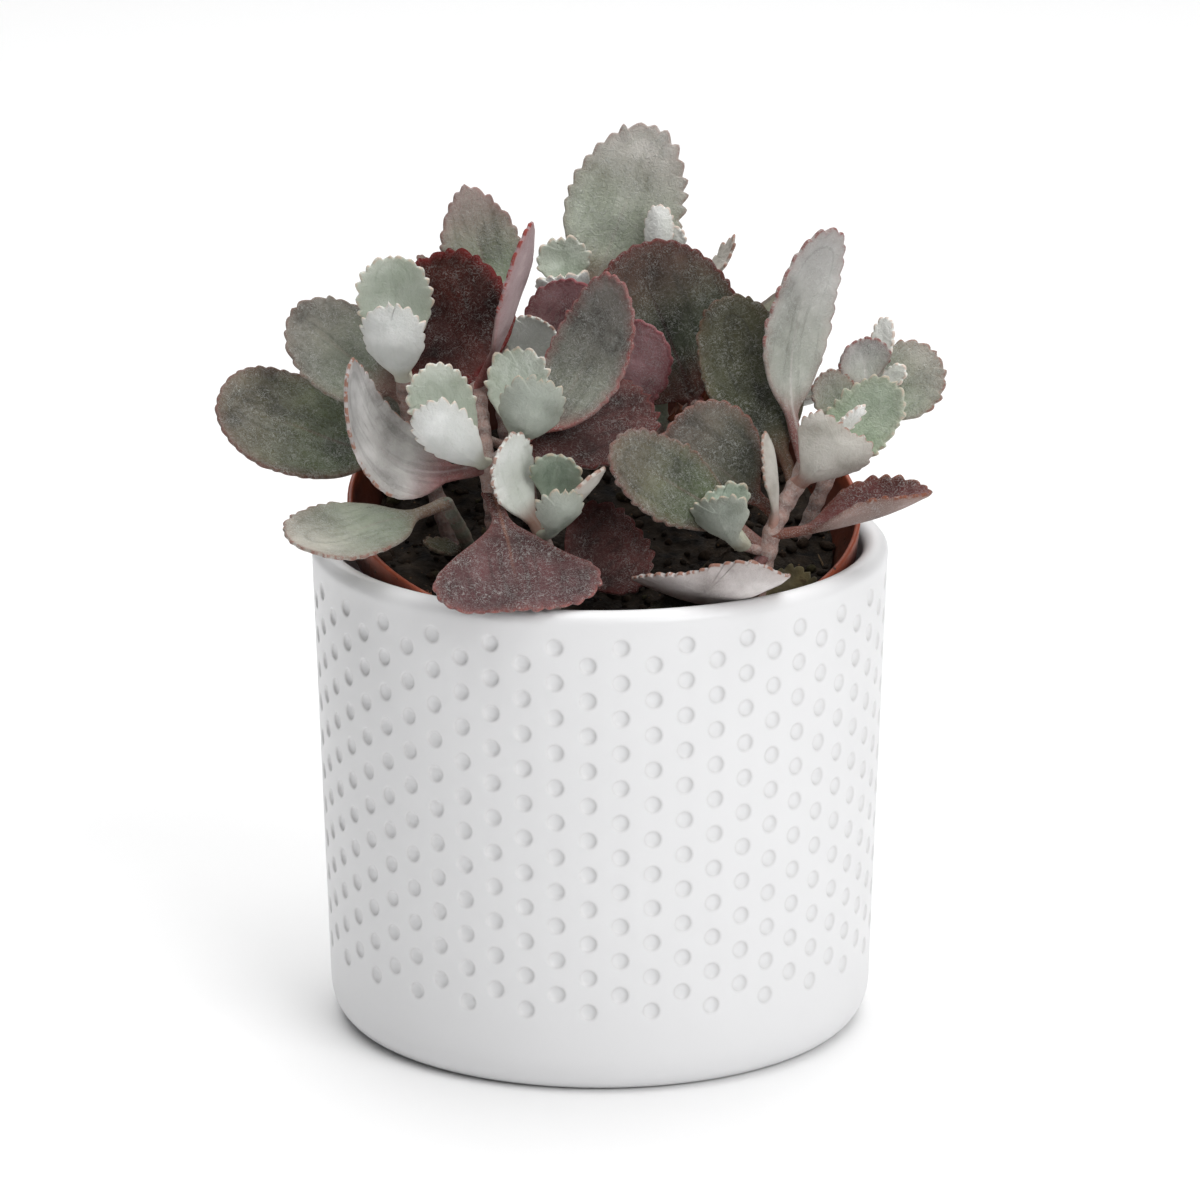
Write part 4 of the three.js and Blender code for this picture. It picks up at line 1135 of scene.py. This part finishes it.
def add_outer_pot(skin, pot):
    """The pot's wall with a round dimple in the middle of every cell, its lip, inside and foot."""
    height, rim_radius, foot_radius = pot.height / MM, pot.rim_radius / MM, pot.foot_radius / MM
    wall, pitch, lowest = pot.wall / MM, pot.dimple_pitch / MM, pot.dimple_lowest / MM
    hollow, depth = pot.dimple_radius / MM, pot.dimple_depth / MM
    columns, rows = pot.dimple_columns, pot.dimple_rows
    around = columns * POT_STEPS
    rise = pitch / POT_STEPS
    bottom = lowest - pitch / 2
    levels = POT_STEPS * rows + POT_STEPS // 2
    column_turn = 2 * math.pi / columns
    # thin gathers each vertex's share of the painted shade in the dimples
    points, bare, thin, quads, triangles, corners = [], [], [], [], [], {}

    def radius_at(z):
        return foot_radius + (rim_radius - foot_radius) * z / height

    def angle_at(a):
        return (a / POT_STEPS - 0.5) * column_turn + DIMPLE_TURN

    def vertex(radius, angle, z, unglazed=0.0, painted_shade=0.0):
        points.append((radius * math.cos(angle), radius * math.sin(angle), z))
        bare.append(unglazed)
        thin.append(painted_shade)
        return len(points) - 1

    def corner(a, k):
        a %= around
        if (a, k) not in corners:
            z = bottom + k * rise
            corners[a, k] = vertex(radius_at(z), angle_at(a), z)
        return corners[a, k]

    def join(lower, upper):
        quads.extend((a, b, d, c) for (a, b), (c, d) in zip(pairs(lower), pairs(upper)))

    def plain_cell(a, k):
        for i in range(a, a + POT_STEPS):
            for j in range(k, k + POT_STEPS // 2):
                quads.append((corner(i, j), corner(i + 1, j), corner(i + 1, j + 1), corner(i, j + 1)))

    def dimpled_cell(column, k):
        a = column * POT_STEPS
        b, top = a + POT_STEPS, k + POT_STEPS
        steps = range(POT_STEPS)
        ring = [corner(a + i, k) for i in steps] + [corner(b, k + i) for i in steps]
        ring += [corner(b - i, top) for i in steps] + [corner(a, top - i) for i in steps]
        z = bottom + (k + POT_STEPS / 2) * rise
        angle = column * column_turn + DIMPLE_TURN
        radius = radius_at(z)
        # Each ring of a dimple carries its share of painted shade
        for reach, sunk, painted_shade in DIMPLE_RINGS:
            inner = []
            for i in range(len(ring)):
                turn = FIRST_CORNER + 2 * math.pi * i / len(ring)
                up = hollow * reach * math.sin(turn)
                across = hollow * reach * math.cos(turn) / radius
                inner.append(vertex(radius_at(z + up) - depth * sunk, angle + across, z + up, 0.0, painted_shade))
            join(ring, inner)
            ring = inner
        pit = vertex(radius - depth, angle, z)
        triangles.extend((i, j, pit) for i, j in pairs(ring))

    def spin(ring, section, outward):
        """Carries a ring of vertices along a section, and closes it at the axis."""
        for radius, z, unglazed in section:
            turned = [vertex(radius, angle_at(a), z, unglazed) for a in range(around)]
            join(*((ring, turned) if outward else (turned, ring)))
            ring = turned
        middle = vertex(0, 0, z, unglazed)
        triangles.extend((i, j, middle) if outward else (j, i, middle) for i, j in pairs(ring))

    for column in range(columns):
        raised = POT_STEPS // 2 * (column % 2)
        plain_cell(column * POT_STEPS, 0 if raised else levels - POT_STEPS // 2)
        for row in range(rows):
            dimpled_cell(column, raised + row * POT_STEPS)

    half = wall / 2
    floor_radius = radius_at(POT_FLOOR) - wall
    lip = [math.pi * i / POT_ROUND_STEPS for i in range(POT_ROUND_STEPS + 1)]
    above = [(rim_radius - half + half * math.cos(t), height - half + half * math.sin(t), 0) for t in lip]
    above += [(radius_at(z) - wall, z, 0) for z in (*POT_INSIDE_LEVELS, POT_FLOOR + POT_INNER_CORNER)]
    above += [(floor_radius - POT_CORNER_CUT, POT_FLOOR + POT_CORNER_CUT, 0)]
    above += [(radius, POT_FLOOR, 0) for radius in (floor_radius - POT_INNER_CORNER, POT_FLOOR_RING)]
    foot = [math.pi / 2 * i / POT_ROUND_STEPS for i in range(POT_ROUND_STEPS + 1)]
    wide, high = POT_FOOT_WIDE, POT_FOOT_HIGH
    below = [(radius_at(high) - wide * (1 - math.cos(t)), high * (1 - math.sin(t)), 0) for t in foot[:-1]]
    below += [(radius, 0, 1) for radius in (radius_at(high) - wide, *POT_FOOT_RINGS)]
    spin([corner(a, levels) for a in range(around)], above, True)
    spin([corner(a, 0) for a in range(around)], below, False)
    # The thin value is the painted shade of the dimples
    skin.add(points, [quads, triangles], bare=np.array(bare, float), thin=np.array(thin, float))


# Nursery pot, soil and dead leaves


def nursery_place(nursery, points):
    """Turns points round the middle of the rim into the frame, in millimetres."""
    turn = Matrix.Rotation(nursery.roll, 3, "Y") @ Matrix.Rotation(nursery.tilt, 3, "X")
    return np.asarray(points, float) @ np.array(turn).T + NURSERY_RIM_CENTRE


def nursery_radius_at(nursery, z):
    top = nursery.rim_radius / MM - NURSERY_BAND["step"]
    return top + (top - nursery.foot_radius / MM) * z / (nursery.height / MM)


def add_nursery_pot(skin, nursery):
    """A thin pot with a stepped band, a rolled lip, and drain slots in its floor."""
    height, rim, wall = nursery.height / MM, nursery.rim_radius / MM, nursery.wall / MM
    band, flare = NURSERY_BAND["high"], NURSERY_BAND["flare"]
    inner, outer = DRAIN_RING
    half = wall / 2

    def radius(z):
        return nursery_radius_at(nursery, z)

    turns = np.linspace(0, math.pi, NURSERY_LIP_STEPS)
    lip = [(rim - half + half * math.cos(t), half * (math.sin(t) - 1)) for t in turns]
    profile = [(inner, -height), (outer, -height), (radius(-height) - NURSERY_CORNER, -height)]
    profile += [(radius(-height), -height + NURSERY_CORNER)]
    profile += [(radius(z), z) for z in (*NURSERY_LEVELS, -band - BAND_CORNER)]
    profile += [(rim - flare - BAND_CORNER, -band), (rim - flare, -band + BAND_CORNER)]
    profile += [(rim - flare / 2, -band / 2)] + lip
    inside = len(profile)
    profile += [(rim - wall - flare / 2, -band / 2), (radius(-band) - wall, -band - wall)]
    profile += [(radius(z) - wall, z) for z in (*NURSERY_LEVELS[::-1], -height + wall)]
    profile += [(outer, -height + wall), (inner, -height + wall)]
    angles = np.linspace(0, 2 * math.pi, NURSERY_SECTORS, endpoint=False)
    points = [(x, y, z) for r, z in profile for x, y in circle(r, angles)]
    points += [(0, 0, -height), (0, 0, -height + wall)]
    ids, turned, cells = ring_grid(len(profile), NURSERY_SECTORS)
    slot = (np.arange(NURSERY_SECTORS) * DRAIN_SLOTS / NURSERY_SECTORS) % 1 < DRAIN_SHARE
    quads = [cells[0][~slot], *cells[1:-1], cells[-1][~slot]]
    for k in np.nonzero(slot)[0]:
        (a, b, c, d), (e, f, g, h) = ids[DRAIN_ROWS, k], turned[DRAIN_ROWS, k]
        quads.append([(a, d, h, e), (b, f, g, c)])
        if not slot[k - 1]:
            quads.append([(a, b, c, d)])
        if not slot[(k + 1) % NURSERY_SECTORS]:
            quads.append([(e, h, g, f)])
    fans = [(a, len(points) - 2, b) for a, b in zip(ids[0], turned[0])]
    fans += [(a, b, len(points) - 1) for a, b in zip(ids[-1], turned[-1])]
    row = np.arange(len(profile))
    is_inside = np.append(np.repeat(row >= inside, NURSERY_SECTORS), [0, 1])
    is_lip = np.append(np.repeat((row >= inside - len(lip)) & (row < inside), NURSERY_SECTORS), [0, 0])
    skin.add(nursery_place(nursery, points), [*quads, fans], inner=is_inside, lip=is_lip)


def soil_height(soil, x, y):
    """The lumpy surface over a point, below the middle of the rim."""
    along, across, slant = SOIL_WAVES["along"], SOIL_WAVES["across"], SOIL_WAVES["slant"]
    broad = math.sin(along * x + 1) * math.cos(across * y) + math.sin(slant * (x + y)) / 2
    lumps = noise.fractal(Vector((x, y, 0)) * SOIL_LUMP_SCALE, *SOIL_LUMP_FORM)
    fine = lumps + GRIT_SHARE * noise.noise(Vector((x, y, GRIT_LAYER)) * GRIT_SCALE)
    return -SOIL_BELOW_RIM + soil.lump_height / MM * (broad + SOIL_FINE_SHARE * fine)


def add_soil(skin, nursery, soil, rng):
    """A lumpy filling with loose crumbs and fibres pressed into its top."""
    inset = nursery.wall / MM + GAP
    foot = -nursery.height / MM + inset
    edge = nursery_radius_at(nursery, -SOIL_BELOW_RIM) - inset - SOIL_EDGE
    angles = np.linspace(0, 2 * math.pi, SOIL_SECTORS, endpoint=False)
    sides = [(nursery_radius_at(nursery, z) - inset, z) for z in (foot, SOIL_LEVEL)]
    points = [(x, y, z) for radius, z in sides for x, y in circle(radius, angles)]
    radii = [edge * (SOIL_RINGS - k) / SOIL_RINGS for k in range(SOIL_RINGS)]
    points += [(x, y, soil_height(soil, x, y)) for radius in radii for x, y in circle(radius, angles)]
    points += [(0, 0, soil_height(soil, 0, 0)), (0, 0, foot)]
    ids, turned, quads = ring_grid(len(sides) + SOIL_RINGS, SOIL_SECTORS)
    crown = [(a, b, len(points) - 2) for a, b in zip(ids[-1], turned[-1])]
    floor = [(b, a, len(points) - 1) for a, b in zip(ids[0], turned[0])]
    skin.add(nursery_place(nursery, points), [quads.reshape(-1, 4), crown + floor], crumb=0.0)

    ball = bmesh.new()
    bmesh.ops.create_icosphere(ball, subdivisions=2, radius=1.0)
    sphere = np.array([v.co for v in ball.verts])
    triangles = [[v.index for v in f.verts] for f in ball.faces]
    ball.free()
    for _ in range(soil.crumbs):
        r, a = edge * math.sqrt(rng.uniform(0, CRUMB_REACH)), rng.uniform(0, 2 * math.pi)
        x, y = r * math.cos(a), r * math.sin(a)
        size = soil.crumb_size / MM * rng.uniform(*CRUMB_SIZES) ** CRUMB_POWER
        stretch = size * rng.uniform(*CRUMB_STRETCH)
        if rng.uniform() < FIBRE_SHARE:
            stretch = np.array((size * rng.uniform(*FIBRE_LENGTHS), *FIBRE_THICKNESS))
        bulges = np.sin(sphere @ rng.uniform(-4, 4, (3, 3)) + rng.uniform(0, 6, 3)).mean(1)
        lumps = sphere * (1 + CRUMB_BULGE * bulges)[:, None]
        turn = Matrix.Rotation(rng.uniform(0, 6.3), 3, "Z") @ Matrix.Rotation(rng.uniform(-0.5, 0.5), 3, "X")
        place = np.array((x, y, soil_height(soil, x, y) + CRUMB_RISE * size))
        shaped = (lumps * stretch) @ np.array(turn).T + place
        skin.add(nursery_place(nursery, shaped), [triangles], crumb=float(rng.uniform(0.05, 1.0)))


def length_setting(name, description, millimetres):
    return FloatProperty(
        name=name, description=description, default=millimetres * MM, min=0.0, unit="LENGTH", precision=5
    )


def number_setting(name, description, default, least=0.0, **more):
    return FloatProperty(name=name, description=description, default=default, min=least, **more)


def count_setting(name, description, default, least=0):
    return IntProperty(name=name, description=description, default=default, min=least)


def angle_setting(name, description, degrees):
    return FloatProperty(name=name, description=description, default=math.radians(degrees), subtype="ANGLE")


def colour_setting(name, description, *screen):
    return FloatVectorProperty(
        name=name, description=description, default=linear(*screen)[:3], min=0.0, max=1.0, subtype="COLOR"
    )


class OuterPotSettings(bpy.types.PropertyGroup):
    height: length_setting("Height", "From the floor to the top of the lip", 103)
    rim_radius: length_setting("Rim radius", "Outside radius at the lip", 60)
    foot_radius: length_setting("Foot radius", "Outside radius where the wall would meet the floor", 56.7)
    wall: length_setting("Wall", "Thickness of the wall and width of the lip", 5.4)
    dimple_columns: count_setting("Dimple columns", "Upright columns of dimples", 56, 8)
    dimple_rows: count_setting("Dimple rows", "Dimples in each column", 11, 1)
    dimple_pitch: length_setting("Dimple pitch", "Height from one dimple to the next", 7.4)
    dimple_lowest: length_setting("Lowest dimple", "Height of the lowest dimple's middle", 18.1)
    dimple_radius: length_setting("Dimple radius", "Radius of a dimple", 1.75)
    dimple_depth: length_setting("Dimple depth", "How deep a dimple is pressed", 0.65)
    glaze_colour: colour_setting("Glaze", "Colour of the glaze", 231, 231, 232)
    glaze_roughness: number_setting("Glaze roughness", "How matt it is", 0.36, max=1.0, subtype="FACTOR")


class NurseryPotSettings(bpy.types.PropertyGroup):
    height: length_setting("Height", "From the foot to the lip", 74)
    rim_radius: length_setting("Rim radius", "Outside radius at the lip", 53.3)
    foot_radius: length_setting("Foot radius", "Outside radius at the foot", 33.5)
    wall: length_setting("Wall", "Thickness of the plastic", 1.1)
    tilt: angle_setting("Tilt", "How far the pot leans to the front", 15.6)
    roll: angle_setting("Roll", "How far the pot leans to the side", 2.1)
    # Terracotta darkened as painted shade, for the deep shade round and inside this pot
    shaded_plastic_colour: colour_setting("Plastic", "Colour of the plastic", 88, 42, 28)


class SoilSettings(bpy.types.PropertyGroup):
    lump_height: length_setting("Lump height", "Height of the broad lumps", 1.1)
    crumbs: count_setting("Crumbs", "Loose crumbs and fibres on the top", 560)
    crumb_size: length_setting("Crumb size", "Radius of the largest crumbs", 1.7)
    seed: count_setting("Seed", "Start of the crumbs' random places", 11)
    # Dark peat, darkened further as painted shade for the deep shade inside the pot
    shaded_peat_colour: colour_setting("Peat", "Colour of the damp peat", 34, 27, 20)


class PlantSettings(bpy.types.PropertyGroup):
    tooth_depth: number_setting("Tooth depth", "Depth of the teeth, as a share of their own", 1.0)
    bloom_colour: colour_setting("Bloom", "Colour of the pale dust", 206, 208, 204)
    stem_colour: colour_setting("Stem", "Colour of the stems", 122, 88, 80)
    seed: count_setting("Seed", "Start of the leaves' random waves and teeth", 4)


class StageSettings(bpy.types.PropertyGroup):
    floor_size: length_setting("Floor", "Side of the floor", 12000)
    camera_distance: length_setting("Camera distance", "From the pot's axis, along the floor", 1266.2)
    camera_height: length_setting("Camera height", "Height of the camera", 447.9)
    camera_pitch: number_setting("Camera pitch", "How far the camera looks down", 0.2762, subtype="ANGLE")
    focal_length: number_setting("Focal length", "Of the lens, in millimetres", 189.18, 1.0)
    top_power: number_setting("Top light", "Power of the large light overhead", 40.0, unit="POWER")
    front_power: number_setting("Front light", "Power of the light at the front right", 20.0, unit="POWER")
    back_power: number_setting("Back light", "Power of the light behind", 12.0, unit="POWER")
    sky: number_setting("Sky", "Strength of the even light", 0.09)


class DUSTPLANT_OT_outer_pot(bpy.types.Operator):
    """Build the glazed outer pot"""

    bl_idname = "dustplant.outer_pot"
    bl_label = "Outer pot"

    def execute(self, context):
        pot = context.scene.dust_outer_pot
        skin = Skin()
        add_outer_pot(skin, pot)
        glaze = surface("satin white glaze", dress_glaze, pot)
        make_piece("glazed_outer_pot", skin, [glaze], "glazed_ceramic", "outer_pot")
        return {"FINISHED"}


class DUSTPLANT_OT_nursery_pot(bpy.types.Operator):
    """Build the plastic pot that the plant grows in"""

    bl_idname = "dustplant.nursery_pot"
    bl_label = "Nursery pot"

    def execute(self, context):
        nursery = context.scene.dust_nursery_pot
        skin = Skin()
        add_nursery_pot(skin, nursery)
        plastic = surface("terracotta plastic", dress_plastic, nursery)
        make_piece("plastic_nursery_pot", skin, [plastic], "terracotta_plastic", "nursery_pot")
        return {"FINISHED"}


class DUSTPLANT_OT_soil(bpy.types.Operator):
    """Build the peat with its crumbs"""

    bl_idname = "dustplant.soil"
    bl_label = "Soil"

    def execute(self, context):
        soil = context.scene.dust_soil
        skin = Skin()
        add_soil(skin, context.scene.dust_nursery_pot, soil, np.random.default_rng(soil.seed))
        make_piece("peat_soil", skin, [surface("damp peat", dress_soil, soil)], "soil", "soil")
        return {"FINISHED"}


class DUSTPLANT_OT_leafy_stems(bpy.types.Operator):
    """Build every leafy stem, one piece for each"""

    bl_idname = "dustplant.leafy_stems"
    bl_label = "Leafy stems"

    def execute(self, context):
        plant = context.scene.dust_plant
        materials = [surface("dusted leaf", dress_leaf, plant), surface("dusted stem", dress_stem, plant)]
        for number, (name, (stems, leaves)) in enumerate(SHOOTS.items()):
            rng = np.random.default_rng(plant.seed + number)
            skin = Skin()
            for i, (radius, *nodes) in enumerate(stems):
                key = (name, i)
                dark_below = DARK_BELOW.get(key, 0.0)
                add_stem(skin, nodes, radius, key in CUT_STEMS, key in GREEN_STEMS, dark_below, rng)
            for stem, node, tip, width, face, kind, look, *changes in leaves:
                shape = {**LEAF_KINDS[kind], **dict(*changes)}
                shape["depth"] *= plant.tooth_depth
                add_leaf(skin, stems[stem][node + 1], tip, width, face, shape, LOOKS[look], rng)
            make_piece("leafy_stem_" + name, skin, materials, "leafy_stem", "shoot_" + name)
        return {"FINISHED"}


class DUSTPLANT_OT_dead_leaves(bpy.types.Operator):
    """Lay the dead leaves on the soil"""

    bl_idname = "dustplant.dead_leaves"
    bl_label = "Dead leaves"

    def execute(self, context):
        skin = Skin()
        rng = np.random.default_rng(context.scene.dust_plant.seed)
        for base, tip, width, face, olive in DRY_LEAVES:
            add_leaf(skin, base, tip, width, face, DRY_KIND, LOOKS["maroon"], rng, olive=olive)
        make_piece("dead_leaves", skin, [surface("dry leaf", dress_dry_leaf)], "leafy_stem")
        return {"FINISHED"}


class DUSTPLANT_OT_stage(bpy.types.Operator):
    """Set the pale floor, the soft lights and the camera"""

    bl_idname = "dustplant.stage"
    bl_label = "Stage"

    def execute(self, context):
        scene = context.scene
        stage = scene.dust_stage
        half = stage.floor_size / 2
        mesh = bpy.data.meshes.new("floor")
        corners = [(-half, -half, 0), (half, -half, 0), (half, half, 0), (-half, half, 0)]
        mesh.from_pydata(corners, [], [(0, 1, 2, 3)])
        mesh.materials.append(surface("pale floor", dress_floor))
        floor = place_object("floor", mesh)
        world = bpy.data.worlds.new("pale room")
        world.use_nodes = True
        background = world.node_tree.nodes["Background"]
        background.inputs["Color"].default_value = WHITE
        background.inputs["Strength"].default_value = stage.sky
        scene.world = world
        for name, (side, place) in LAMPS.items():
            lamp = bpy.data.lights.new(name, "AREA")
            lamp.shape = "SQUARE"
            lamp.size = side
            lamp.energy = getattr(stage, name + "_power")
            light = place_object(name, lamp)
            light.location = place
            light.rotation_mode = "QUATERNION"
            light.rotation_quaternion = (Vector(LAMP_AIM) - Vector(place)).to_track_quat("-Z", "Y")
        eye = bpy.data.cameras.new("camera")
        eye.sensor_width = SENSOR
        eye.lens = stage.focal_length
        eye.clip_start, eye.clip_end = CLIP
        camera = place_object("camera", eye)
        camera.location = (0.0, -stage.camera_distance, stage.camera_height)
        camera.rotation_euler = (math.pi / 2 - stage.camera_pitch, 0.0, 0.0)
        scene.camera = camera
        scene.view_settings.view_transform = "Standard"
        return {"FINISHED"}


class DUSTPLANT_PT_panel(bpy.types.Panel):
    """Lists the settings and the builders of the potted plant"""

    bl_idname = "DUSTPLANT_PT_panel"
    bl_label = "Potted flower dust plant"
    bl_space_type = "VIEW_3D"
    bl_region_type = "UI"
    bl_category = "Dust Plant"

    def draw(self, context):
        for operator, settings in BUILDERS:
            box = self.layout.box()
            box.operator(operator.bl_idname)
            if settings:
                group = getattr(context.scene, settings)
                for name in group.bl_rna.properties.keys():
                    if name not in ("rna_type", "name"):
                        box.prop(group, name)


SETTINGS = {
    "dust_outer_pot": OuterPotSettings,
    "dust_nursery_pot": NurseryPotSettings,
    "dust_soil": SoilSettings,
    "dust_plant": PlantSettings,
    "dust_stage": StageSettings,
}
BUILDERS = (
    (DUSTPLANT_OT_outer_pot, "dust_outer_pot"),
    (DUSTPLANT_OT_nursery_pot, "dust_nursery_pot"),
    (DUSTPLANT_OT_soil, "dust_soil"),
    (DUSTPLANT_OT_leafy_stems, "dust_plant"),
    (DUSTPLANT_OT_dead_leaves, None),
    (DUSTPLANT_OT_stage, "dust_stage"),
)


def register():
    for name, settings in SETTINGS.items():
        bpy.utils.register_class(settings)
        setattr(bpy.types.Scene, name, PointerProperty(type=settings))
    for operator, _ in BUILDERS:
        bpy.utils.register_class(operator)
    bpy.utils.register_class(DUSTPLANT_PT_panel)


def unregister():
    bpy.utils.unregister_class(DUSTPLANT_PT_panel)
    for operator, _ in reversed(BUILDERS):
        bpy.utils.unregister_class(operator)
    for name, settings in reversed(SETTINGS.items()):
        delattr(bpy.types.Scene, name)
        bpy.utils.unregister_class(settings)


def main():
    register()
    make_shared_effects()
    bpy.ops.dustplant.outer_pot()
    bpy.ops.dustplant.nursery_pot()
    bpy.ops.dustplant.soil()
    bpy.ops.dustplant.leafy_stems()
    bpy.ops.dustplant.dead_leaves()
    bpy.ops.dustplant.stage()


if __name__ == "__main__":
    main()
